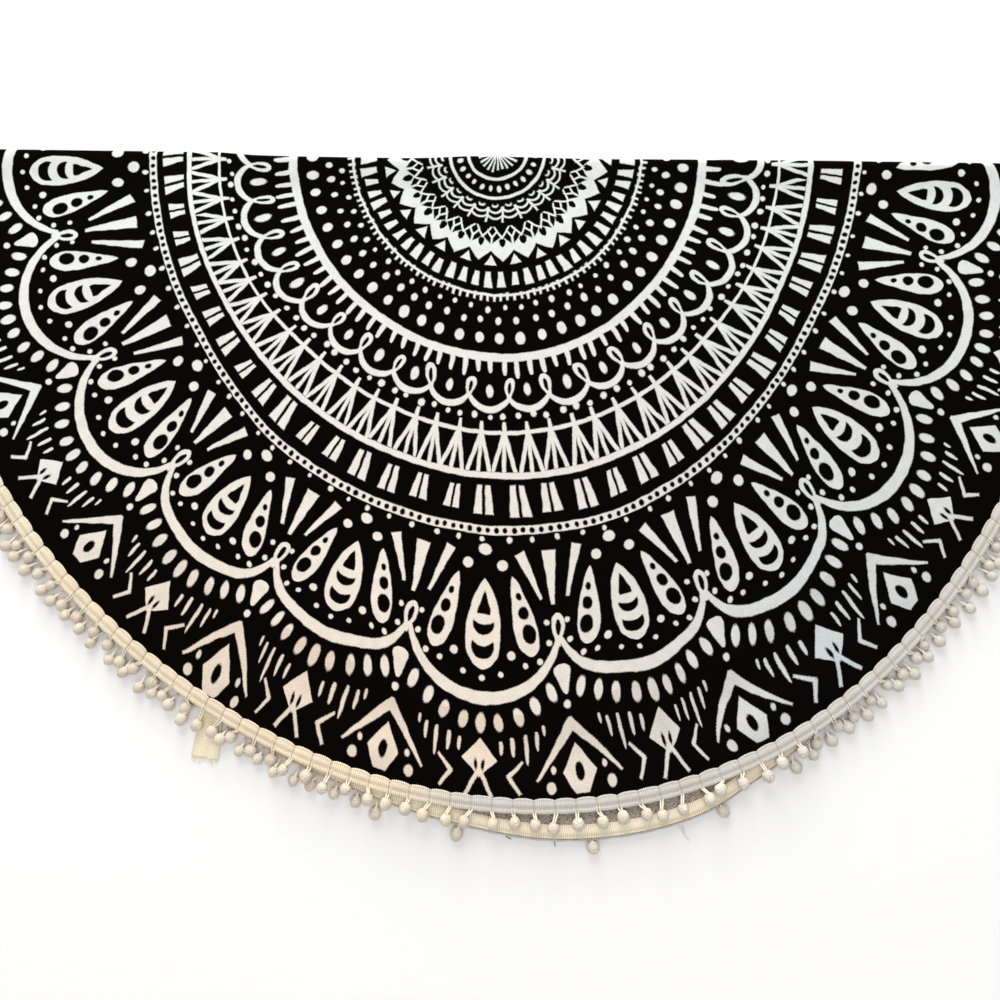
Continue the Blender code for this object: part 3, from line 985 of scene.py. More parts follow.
def border(p: Print) -> Field:
    """Draws the outer band: dashes, gems under chevrons, and diamonds on legs between them.

    Args:
        p: the print's coordinates on the cloth.

    Returns:
        The depth inside the ink, below 0 outside it.
    """
    cell = p.sector(PETALS, PETAL_MIDDLE, 21, PETAL_SHAKE).mirrored()
    found = ovals_under(cell)
    for x, y, half, long in (
        (22.5, 679.6, 2.0, 6.8),
        (34.5, 677.6, 2.2, 9.4),
        (48.5, 679.0, 2.1, 14.6),
        (59.5, 670.0, 2.0, 9.2),
        (67.0, 659.5, 1.7, 5.0),
    ):
        lean = 0.07 * long
        dash = [(share, width * half) for share, width in DASH]
        found = found.most(cell.leaf((x - lean, y - long), (x + lean, y + long), dash))
    kite = ((0, 0), (0.56, 19.5), (0.97, 1.6), (1, 0.6))
    figure = cell.leaf((0, 671.5), (0, 709.0), kite, straight=True)
    windows = cell.oval(4.0, 697.5, 2.0, 5.4, -6)
    legs = cell.bar((0.0, 701.5), (14.5, 726.5), 2.2, 1.9)
    marks = cell.bar((44.5, 690.5), (30.3, 706.4), 1.2, 2.2)
    marks = marks.most(cell.bar((30.2, 705.0), (42.5, 720.5), 2.2, 1.6))
    joint = p.sector(PETALS, JOINT_MIDDLE, 24, PETAL_SHAKE).mirrored()
    roof = joint.bar((-3.5, 653.4), (45.5, 707.6), 5.7, 1.1).least(joint.y - 650.6)
    cut = ((0, 0), (0.58, 18.4), (0.93, 9.6), (1, 7.6))
    gem = joint.leaf((0, 675.6), (0, 722.4), cut, straight=True)
    hole = joint.oval(0, 703.0, 4.9, 8.6)
    beside = joint.oval(27.5, 699.6, 2.5, 3.2).most(joint.oval(32.4, 715.2, 4.9, 5.5))
    return found.most(figure.without(windows), legs, marks, roof, gem.without(hole), beside)


@dataclass(frozen=True)
class Band:
    """One ring of the print: its outer radius in mm and what draws it."""

    name: str
    outer: float
    draw: Callable[[Print], Field]


BANDS = (
    Band("sunburst", 92.0, sunburst_and_scallops),
    Band("net", 148.0, net_and_points),
    Band("dots", 243.0, bars_and_dots),
    Band("curls", 333.0, drips_and_curls),
    Band("branches", 401.0, branches),
    Band("pairs", 460.2, pairs_and_beads),
    Band("petals", 645.5, petals),
    Band("border", 800.0, border),
)


@dataclass(frozen=True)
class Drift:
    """A place where the print wanders from its true radius or angle, as drawn by hand.

    It drifts out by some millimetres and turns by some degrees, less so with the distance: this
    far across the rings, in millimetres, and this far round them, in degrees.
    """

    radius: float
    angle: float
    by: float
    across: float
    round: float
    turn: float = 0.0

    def share(self, radius: float, angle: float) -> float:
        """Returns how much of it acts on a point of the print: 1 in its middle, none far away."""
        out, aside = (radius - self.radius) / self.across, (angle - self.angle) / self.round
        return math.exp(-(out**2) - aside**4)


DRIFTS = (  # radius, angle, by, across, round, turn
    Drift(38, 0, -2.2, 11, 38),
    Drift(320, -77, 14, 42, 27),
    Drift(320, 80, 14, 42, 30),
    Drift(455, -76, -15, 40, 28),
    Drift(455, 52, -7, 40, 27),
    Drift(550, -20, -7, 50, 7),
    Drift(636, -20, -21, 60, 6.4),
    Drift(550, 15, -4, 50, 7),
    Drift(636, 15, -19, 60, 6.4),
    Drift(636, 32, -16, 60, 6.4),
    Drift(636, -37, -15, 60, 6.4),
    Drift(550, 46, -9, 60, 10),
    Drift(530, -50, -9, 60, 10),
    Drift(722, -28.3, 15, 34, 5, 0.6),
    Drift(716, 6, 0, 55, 5.5, 0.4),
    Drift(690, 23.1, 4, 75, 6.5, -1.1),
    Drift(690, -20, 0, 60, 5, -0.5),
)


# ---------------------------------------------------------------- finishes


def dress(
    shader: bpy.types.Node, colour: bpy.types.Node, height: Field, strength: float, deep: float
) -> None:
    """Gives a shader its colour and its relief.

    Args:
        shader: the shader.
        colour: the Mix node that gives its colour.
        height: the relief, from 0 to about 1.
        strength: how strong the relief is.
        deep: its depth in millimetres.
    """
    tree = height.tree
    links = {"Height": height, "Strength": strength, "Distance": deep * MM}
    tree.links.new(colour.outputs[MIXED], shader.inputs["Base Color"])
    tree.links.new(add_node(tree, "Bump", links).outputs[0], shader.inputs["Normal"])


@dataclass(frozen=True)
class Tint:
    """A colour that paints the light's cast: one by the fold, two side by side nearer the viewer,
    warm and cool.
    """

    far: str
    near: str
    right: str
    turn: tuple[float, float] = (0.0, 0.38)  # the x over which it turns to the right one
    fade: tuple[float, float] = (0.34, -0.10)  # the y over which it turns to the near one
    by_fold: float = 0.25  # the right one's share by the fold

    def colour(self, tree: bpy.types.NodeTree) -> bpy.types.NodeSocket:
        """Makes the colour from the object's coordinates.

        Args:
            tree: the material's node tree.

        Returns:
            The colour's output.
        """
        place = Spot(tree, add_node(tree, "TexCoord").outputs["Object"])
        links = {"Value": place.y, "From Min": self.fade[0], "From Max": self.fade[1]}
        down = Field(tree, add_node(tree, "MapRange", links).outputs[0])
        links = {"Value": place.x, "From Min": self.turn[0], "From Max": self.turn[1]}
        aside = Field(tree, add_node(tree, "MapRange", links).outputs[0])
        links = {"Factor": down, MIX_A: linear(self.far), MIX_B: linear(self.near)}
        left = add_node(tree, "Mix", links, data_type="RGBA").outputs[MIXED]
        share = down.line(1 - self.by_fold, self.by_fold) * aside
        links = {"Factor": share, MIX_A: left, MIX_B: linear(self.right)}
        return add_node(tree, "Mix", links, data_type="RGBA").outputs[MIXED]


@dataclass(frozen=True)
class Velour:
    """Cotton velour: terry with its loops sheared to a short dense pile, which drinks the light."""

    black: str = "060403"
    # The whites are painted light: warmer nearer the viewer, cooler and dimmer to the right.
    white: Tint = Tint("dbdedc", "e4d9cc", "c6ccce", fade=(0.33, -0.17))
    rim_white: Tint = Tint("dbdedc", "d9c9b8", "bdc3c5", fade=(0.09, -0.18))
    edge_mm: float = 0.75  # half the blur of the ink's edge
    nap_mm: float = 1.5  # the pile's tufts, drawn as coarse as they need to show
    fuzz_mm: float = 2.2  # how far the tufts carry the edge to and fro
    tuft_shade: float = 0.55
    bare: float = 1.20
    mottle: float = 0.15
    relief: float = 0.5
    relief_mm: float = 0.5
    rough: float = 0.95
    sheen: float = 0.03

    def material(self, band: Band) -> bpy.types.Material:
        """Makes the printed velour for one ring of the print.

        Args:
            band: the ring.

        Returns:
            The material.
        """
        made, tree, shader = new_material(f"cotton velour printed with {band.name}")
        # Deep black ink on a soft white ground: matt, with no shine at any angle.
        drawn = Print(tree)
        depth = band.draw(drawn)
        # The pile scatters the ink's edge, and its tufts catch more or less light.
        links = {"Vector": drawn.flat, "Scale": 1 / self.nap_mm, "Detail": 2.0}
        nap = add_node(tree, "TexNoise", links)
        tuft = Field(tree, nap.outputs["Fac"])
        fuzzy = depth + tuft.line(self.fuzz_mm, -self.fuzz_mm / 2)
        links = {"Value": fuzzy, "From Min": -self.edge_mm, "From Max": self.edge_mm}
        inked = add_node(tree, "MapRange", links, interpolation_type="SMOOTHSTEP")
        # Ink doesn't reach every tuft: the white has a fine grey grain.
        grain = tuft.line(-self.tuft_shade, self.bare) + drawn.mottle * self.mottle
        grey = add_node(tree, "CombineColor", {0: grain, 1: grain, 2: grain})
        # The white ground carries painted light; the border's is painted dimmer near the viewer.
        ground = self.rim_white if band is BANDS[-1] else self.white
        links = {"Factor": 1.0, MIX_A: ground.colour(tree), MIX_B: grey.outputs[0]}
        white = add_node(tree, "Mix", links, data_type="RGBA", blend_type="MULTIPLY")
        links = {"Factor": inked.outputs[0], MIX_A: linear(self.black), MIX_B: white.outputs[MIXED]}
        colour = add_node(tree, "Mix", links, data_type="RGBA")
        dress(shader, colour, tuft, self.relief, self.relief_mm)
        shader.inputs["Roughness"].default_value = self.rough
        shader.inputs["Specular IOR Level"].default_value = self.sheen
        return made


@dataclass(frozen=True)
class Terry:
    """Uncut cotton terry: rows of small twisted loops, greige as loomed."""

    high: str = "d6c9bb"
    low: str = "5c4f45"
    loop_mm: float = 2.0
    rise_mm: float = 1.2
    relief: float = 1.0
    rough: float = 0.95

    def material(self) -> bpy.types.Material:
        """Makes the looped reverse.

        Returns:
            The material.
        """
        made, tree, shader = new_material("greige cotton terry loops")
        place = add_node(tree, "TexCoord").outputs["Object"]
        cells = add_node(tree, "TexVoronoi", {"Vector": place, "Scale": 1 / (self.loop_mm * MM)})
        loops = Field(tree, cells.outputs["Distance"])
        # Painted light and shade: the tops of the loops are painted light and the hollows between
        # them painted dark, over the bump.
        links = {"Factor": loops, MIX_A: linear(self.high), MIX_B: linear(self.low)}
        colour = add_node(tree, "Mix", links, data_type="RGBA")
        dress(shader, colour, 1.0 - loops, self.relief, self.rise_mm)
        shader.inputs["Roughness"].default_value = self.rough
        return made


@dataclass(frozen=True)
class Yarn:
    """Undyed cotton trim, woven or wound: matt, with ribs across it and fine fibres."""

    name: str
    colour: Tint
    shade: str
    rib_mm: float = 2.3  # from rib to rib along the trim, coarser than real so that it shows
    rib_depth: float = 0.5
    row_mm: float = 4.4  # from row to row across the trim
    row_depth: float = 0.3
    crease_mm: float = 0.0  # from crease to crease, where the pompoms' threads pull it in
    crease_share: float = 0.055  # half a crease's width, by that distance
    unsteady: float = 2.4  # how far the fibres push the ribs to and fro
    fibres: float = 800.0  # a metre
    patches: float = 45.0  # of dust and wear, a metre
    worn: float = 0.6
    hollow: tuple[float, float] = (-0.5, 0.8)  # the tones, of relief and dust, at which the yarn is darkest, with painted shade, and cleanest
    relief: float = 0.7
    relief_mm: float = 0.5
    rough: float = 0.9
    sheen: float = 0.2

    def material(self) -> bpy.types.Material:
        """Makes the trim's material. Its UV map holds metres along and across.

        Returns:
            The material.
        """
        made, tree, shader = new_material(self.name)
        place = add_node(tree, "TexCoord").outputs["Object"]
        links = {"Vector": place, "Scale": self.fibres, "Detail": 3.0}
        fibres = add_node(tree, "TexNoise", links)
        fibre = Field(tree, fibres.outputs["Fac"])
        height = fibre
        if self.rib_depth:
            woven = Spot(tree, add_node(tree, "UVMap", uv_map="trim").outputs[0])
            ribs = woven.x * (2 * math.pi / (self.rib_mm * MM)) + fibre * self.unsteady
            row = (woven.y * (2 * math.pi / (self.row_mm * MM))).sum("COSINE")
            height = ribs.sum("SINE").line(self.rib_depth / 2, fibre) + row * self.row_depth
            if self.crease_mm:
                near = (woven.x * (1 / (self.crease_mm * MM))).sum("PINGPONG", 0.5)
                links = {"Value": near, "From Min": self.crease_share, "From Max": 0.0}
                height = height - Field(tree, add_node(tree, "MapRange", links).outputs[0])
        # The yarn is painted in shade where its relief is low, in the hollows between ribs and rows
        # and at the creases, and random patches of dust darken some places more.
        dusty = add_node(tree, "TexNoise", {"Vector": place, "Scale": self.patches, "Detail": 1.0})
        tone = height + Field(tree, dusty.outputs["Fac"]).line(self.worn, -self.worn / 2)
        links = {"Value": tone, "From Min": self.hollow[0], "From Max": self.hollow[1]}
        hollow = add_node(tree, "MapRange", links)
        ground = self.colour.colour(tree)
        links = {"Factor": hollow.outputs[0], MIX_A: linear(self.shade), MIX_B: ground}
        colour = add_node(tree, "Mix", links, data_type="RGBA")
        dress(shader, colour, height, self.relief, self.relief_mm)
        shader.inputs["Roughness"].default_value = self.rough
        shader.inputs["Specular IOR Level"].default_value = self.sheen
        return made


# These tints are painted light: the trims are painted warmer nearer the viewer and greyer and
# dimmer to the right; the dark thread's stays one colour.
CREAM_TO_GREY = Tint("f6f4ee", "f6e5c9", "d5d3d0", (-0.12, -0.01))
LOOP_CREAM = Tint("f4efe4", "f1e5cf", "ebe5da")
BALL_CREAM = Tint("efebe3", "eadecb", "e0dbd1")
TAPE_CREAM = Tint("fbf3df", "fff5dc", "faeed8")
THREAD_DARK = Tint("40352c", "40352c", "40352c")
# Soft ribs square to the rim, with a fine crease where the threads of each pompom cross it, painted
# in shade in the hollows and the creases.
BRAID_YARN = Yarn("cream woven cotton braid", CREAM_TO_GREY, "b8a991", 2.3, 0.7, 5.0, 0.12, 23.0)
# Too thin for ribs: only its fibres show, as a soft matt line.
LOOP_YARN = Yarn("cream twisted cotton thread", LOOP_CREAM, "d8cab4", rib_depth=0.0)
# Wound round and round, with lines of painted shade round each ball between the turns.
BALL_YARN = Yarn("cream wound cotton yarn", BALL_CREAM, "94836f", 1.6, 0.55, 1.9, 0.1)
# Firm even ribs with painted shade between them, crisper and yellower than the braid's.
TAPE_YARN = Yarn("cream ribbed cotton tape", TAPE_CREAM, "d2bc95", 2.3, 0.9, 13.0, -0.25)
# The same tape seen flat, its ribs slack where they come undone.
TAIL_YARN = Yarn("cream cotton tape's frayed end", TAPE_CREAM, "c3ad84", 2.5, 0.30, 13.0, -0.1)
# The black sewing thread's ends: a thin dull line.
SEWING_THREAD = Yarn("dark sewing thread", THREAD_DARK, "1d1814", rib_depth=0.0)


# ---------------------------------------------------------------- the pieces


@dataclass
class Cloth:
    """The folded disc of velour terry, printed outside and looped inside."""

    columns: int = 360
    ring_mm: float = 12.0
    print_turn: float = 1.77  # degrees between the print's zero and the part's
    margin_mm: float = 728.0  # the print ends here, inside the rim
    fold_cuts: int = 7
    half_fold: float = 0.0037  # half the fold's height, for the rim that lies beyond it
    fold_round: float = 0.0040  # and for the cuts across it, which reach a little further
    rim_rounds: int = 6
    weld_mm: float = 0.01
    # Angle, the share by which the print's radii grow at the rim, and less further in.
    stretch: Table = (
        (-90, -0.0301),
        (-60, -0.0435),
        (-35, -0.0197),
        (-15, 0.0187),
        (5, 0.0560),
        (30, 0.0394),
        (60, -0.0269),
        (90, -0.0031),
    )

    def ring_radii(self) -> list[float]:
        """Lists the print's radii that the mesh has rings at.

        Returns:
            The radii in mm, with the edges of the bands among them.
        """
        edges = [0.0, *(band.outer for band in BANDS[:-1]), self.margin_mm, LIE.radius / MM]
        radii = []
        for inner, outer in zip(edges, edges[1:]):
            steps = max(1, round((outer - inner) / self.ring_mm))
            radii.extend(inner + (outer - inner) * step / steps for step in range(steps))
        return [*radii, edges[-1]]

    def grown(self, radius: float, angle: float) -> float:
        """Stretches one of the print's radii, the same on both layers.

        Args:
            radius: the radius on the print, in mm.
            angle: the angle on the print, in degrees.

        Returns:
            The radius on the cloth, in mm.
        """
        angle = (angle + 180) % 360 - 180
        if abs(angle) > 90:
            angle = math.copysign(180 - abs(angle), angle)
        drifted = radius + sum(drift.by * drift.share(radius, angle) for drift in DRIFTS)
        return drifted * (1 + drifted / (LIE.radius / MM) * along(self.stretch, angle))

    def laid(self, flat_mm: Vector) -> Vector:
        """Lays a point of the print on the spread cloth, from the fold's middle, in metres.

        Args:
            flat_mm: the point from the print's middle.

        Returns:
            The point from the fold's middle.
        """
        radius = flat_mm.length
        angle = math.degrees(math.atan2(flat_mm.x, -flat_mm.y)) if radius else 0.0
        out = self.grown(min(radius, self.margin_mm), angle) * MM
        angle += self.print_turn + sum(drift.turn * drift.share(radius, angle) for drift in DRIFTS)
        if radius > self.margin_mm:
            # The margin's outer edge is the cloth's rim.
            share = (radius - self.margin_mm) / (LIE.radius / MM - self.margin_mm)
            out += (self.rim(angle) - out) * share
        return level(angle, out) + Vector((0, LIE.fold_offset, 0))

    def rim(self, angle: float) -> float:
        """Finds the spread cloth's rim.

        Args:
            angle: the angle round the print's middle, in the part's frame.

        Returns:
            The rim's distance from the print's middle.
        """
        over = abs((angle + 180) % 360 - 180) > 90
        reach_at = LIE.lower_reach if over else LIE.upper_reach
        found = LIE.radius
        for _ in range(self.rim_rounds):
            place = level(angle, found) + Vector((0, LIE.fold_offset, 0))
            y = place.y
            if over:
                y = min(0.0, math.pi * self.half_fold - place.y)
            from_fold = math.degrees(math.atan2(place.x, -y))
            found += reach_at(from_fold) - math.hypot(place.x, y)
        return found

    def spread(self) -> bmesh.types.BMesh:
        """Spins the rings of the spread disc, in the print's millimetres.

        Returns:
            The disc, with its flat map and its bands' materials.
        """
        mesh = bmesh.new()
        spoke = [mesh.verts.new((0, -radius, 0)) for radius in self.ring_radii()]
        edges = [mesh.edges.new(pair) for pair in zip(spoke, spoke[1:])]
        bmesh.ops.spin(
            mesh,
            geom=[*spoke, *edges],
            cent=(0, 0, 0),
            axis=(0, 0, 1),
            angle=2 * math.pi,
            steps=self.columns,
            use_merge=True,
            use_duplicate=False,
        )
        bmesh.ops.remove_doubles(mesh, verts=mesh.verts, dist=self.weld_mm)
        bmesh.ops.recalc_face_normals(mesh, faces=mesh.faces)
        if sum(face.normal.z for face in mesh.faces) < 0:
            bmesh.ops.reverse_faces(mesh, faces=mesh.faces)
        flat = mesh.loops.layers.uv.new("flat")
        for face in mesh.faces:
            radius = face.calc_center_median().length
            face.material_index = next(i for i, band in enumerate(BANDS) if radius < band.outer)
            for loop in face.loops:
                loop[flat].uv = loop.vert.co.xy * MM
        return mesh

    def build(self) -> bpy.types.Object:
        """Builds the cloth: spread, cut along the fold, folded and thickened.

        Returns:
            The cloth.
        """
        mesh = self.spread()
        for vert in mesh.verts:
            vert.co = self.laid(vert.co)
        bulge = math.pi * self.fold_round
        for cut in range(self.fold_cuts):
            plane = Vector((0, bulge * cut / (self.fold_cuts - 1), 0))
            bmesh.ops.bisect_plane(
                mesh,
                geom=[*mesh.verts, *mesh.edges, *mesh.faces],
                dist=WELD,
                plane_co=plane,
                plane_no=(0, 1, 0),
            )
        for vert in mesh.verts:
            vert.co = LIE.in_frame(LIE.folded(vert.co))
        velour = Velour()
        materials = [velour.material(band) for band in BANDS] + [Terry().material()]
        cloth = finished("towel_cloth_velour", mesh, materials)
        thick = cloth.modifiers.new("cloth thickness", "SOLIDIFY")
        thick.thickness = LIE.cloth
        thick.offset = 0.0
        thick.material_offset = len(BANDS)
        thick.material_offset_rim = len(BANDS)
        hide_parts("towel_cloth")
        return cloth


@dataclass
class Strip:
    """A trim that runs round the whole rim, as a closed ring of one ribbed cross section."""

    path: RimPath
    steps: int  # stations in a pitch
    outset: float  # how far its outer edge lies beyond the cloth's rim
    width: float
    section: Table = ()  # across from the inner edge, rise off the cloth, in mm
    pitch_mm: float = 23.0
    rib: float = 0.0003
    rib_from: float = 0.0003  # the ribs start at this rise and are full this much higher
    rib_over: float = 0.0004

    def shaped(self, place: float, across: float, rise: float, step: int) -> tuple[float, float]:
        """Shapes a point of the section at a place along the rim, here only with the ribs."""
        top = eased((rise - self.rib_from) / self.rib_over)
        return across, rise + self.rib * top * (0.5 if step % 2 else -0.5)

    def mesh(self) -> bmesh.types.BMesh:
        """Makes the ring from a grid that is rolled up both ways, with its map.

        Returns:
            The ring, in the part's frame.
        """
        mesh = bmesh.new()
        stations, points = self.path.pitches * self.steps, len(self.section)
        trim = mesh.loops.layers.uv.new("trim")
        bmesh.ops.create_grid(mesh, x_segments=stations, y_segments=points, size=0.5)
        for face in mesh.faces:
            for loop in face.loops:
                place, turn = (loop.vert.co.x + 0.5) * stations, (loop.vert.co.y + 0.5) * points
                across = self.section[round(turn) % points][0]
                loop[trim].uv = (place / self.steps * self.pitch_mm * MM, across * MM)
        for vert in mesh.verts:
            step = round((vert.co.x + 0.5) * stations)
            across, rise = self.section[round((vert.co.y + 0.5) * points) % points]
            place = step / self.steps
            across, rise = self.shaped(place, across * MM, rise * MM, step)
            vert.co = self.path.point(place, self.width - self.outset - across, rise)
        bmesh.ops.remove_doubles(mesh, verts=mesh.verts, dist=WELD)
        bmesh.ops.recalc_face_normals(mesh, faces=mesh.faces)
        return mesh


@dataclass
class Braid(Strip):
    """The scalloped braid: a toothed edge, a ribbed body, a groove and a smoother lip."""

    path: RimPath = RimPath(Face.PRINTED)
    steps: int = 20
    outset: float = 0.0021
    width: float = 0.0150
    bulge_in: float = 0.0030
    bulge_out: float = 0.0016
    bulge_middle: float = 0.6  # a scallop is this full where its edge keeps its place
    tooth: float = 0.0003
    toothed: float = 0.03  # the toothed shares of the width, at the outer and the inner edge
    toothed_inner: float = 0.07
    rib: float = 0.0005
    rib_from: float = 0.0008
    rib_over: float = 0.0006
    body_from: float = 0.25  # the ribbed body's share of the width, from the outer edge
    body_over: float = 0.15
    pinch: float = 0.70  # how far the threads draw it in, and how much that varies
    pinch_varies: float = 0.42
    pinch_step: float = 0.83
    pinched_rise: float = 0.45
    rise_power: int = 6  # how squarely its height and its edges bulge
    edge_power: float = 2.5
    section: Table = (
        (0.0, 0.5),
        (0.6, 1.7),
        (1.5, 1.3),
        (2.8, 1.8),
        (6.4, 2.0),
        (8.8, 1.7),
        (9.9, 0.8),
        (11.1, 1.7),
        (13.7, 1.6),
        (15.0, 0.7),
        (14.0, 0.1),
        (1.0, 0.1),
    )

    def shaped(self, place: float, across: float, rise: float, step: int) -> tuple[float, float]:
        """Bulges each scallop between two loops, pinches it at them and ribs its body.

        Args:
            place: the place, in pitches from a pompom.
            across: the distance from the inner edge.
            rise: the distance off the cloth.
            step: the number of the station.

        Returns:
            The new distance across and rise.
        """
        chance = noise(Vector((round(place) * self.pinch_step, 0.5, 0.5)))
        pinch = self.pinch + self.pinch_varies * chance
        from_middle = abs(2 * (place % 1) - 1)
        full = 1 - pinch * from_middle**self.rise_power
        round_full = 1 - pinch * from_middle**self.edge_power
        inner = 1 - across / self.width
        hand = 1 if step % 2 else -1
        body = eased((rise - self.rib_from) / self.rib_over)
        body *= eased((inner - self.body_from) / self.body_over)
        if inner > 1 - self.toothed_inner or inner < self.toothed:
            across += self.tooth * hand
        bulge = self.bulge_out * (1 - inner) ** 2 - self.bulge_in * inner**2
        across += (round_full - self.bulge_middle) * bulge
        rise *= self.pinched_rise + (1 - self.pinched_rise) * full
        return across, rise + self.rib * body * hand / 2

    def build(self) -> bpy.types.Object:
        """Builds the braid.

        Returns:
            The braid.
        """
        braid = finished("scalloped_braid", self.mesh(), [BRAID_YARN.material()])
        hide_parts("pompom_braid")
        return braid


@dataclass
class Tape(Strip):
    """The ribbed tape on the reverse face, with a fine line along its outer border."""

    path: RimPath = RimPath(Face.REVERSE)
    steps: int = 20
    outset: float = -0.0010
    width: float = 0.0150
    section: Table = (
        (0.0, 0.3),
        (0.6, 0.75),
        (4.0, 0.85),
        (8.0, 0.8),
        (11.9, 0.85),
        (12.5, 0.2),
        (13.2, 0.2),
        (13.8, 0.75),
        (15.0, 0.35),
        (14.4, 0.05),
        (0.6, 0.05),
    )

    def build(self) -> bpy.types.Object:
        """Builds the tape.

        Returns:
            The tape.
        """
        tape = finished("edge_tape_ribbed", self.mesh(), [TAPE_YARN.material()])
        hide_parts("edge_tape")
        return tape


def tubes(
    name: str,
    lines: Iterable[Sequence[Vector | Point]],
    radius: float,
    material: bpy.types.Material,
) -> bpy.types.Object:
    """Makes threads along smooth lines.

    Args:
        name: the piece's name.
        lines: each thread's points, in the part's frame.
        radius: the threads' radius.
        material: their material.

    Returns:
        The threads as one mesh piece.
    """
    curve = bpy.data.curves.new(name, "CURVE")
    curve.dimensions = "3D"
    curve.bevel_depth = radius
    curve.bevel_resolution = 1
    curve.resolution_u = 3
    curve.use_fill_caps = True
    for line in lines:
        spline = curve.splines.new("NURBS")
        spline.points.add(len(line) - 1)
        for point, place in zip(spline.points, line):
            point.co = (*place, 1)
        spline.order_u = min(4, len(line))
        spline.use_endpoint_u = True
    source = bpy.data.objects.new(name + "_lines", curve)
    bpy.context.scene.collection.objects.link(source)
    bpy.context.view_layer.update()
    ready = source.evaluated_get(bpy.context.evaluated_depsgraph_get())
    data = bpy.data.meshes.new_from_object(ready)
    bpy.data.objects.remove(source)
    mesh = bmesh.new()
    mesh.from_mesh(data)
    bpy.data.meshes.remove(data)
    return finished(name, mesh, [material])


@dataclass
class Ball:
    """Where one pompom lies, and how much it is pressed flat."""

    place: float
    middle: Vector
    outward: Vector
    flat: float = 1.0

    @property
    def side(self) -> Vector:
        """Returns the level direction along the rim."""
        return Vector((-self.outward.y, self.outward.x, 0))


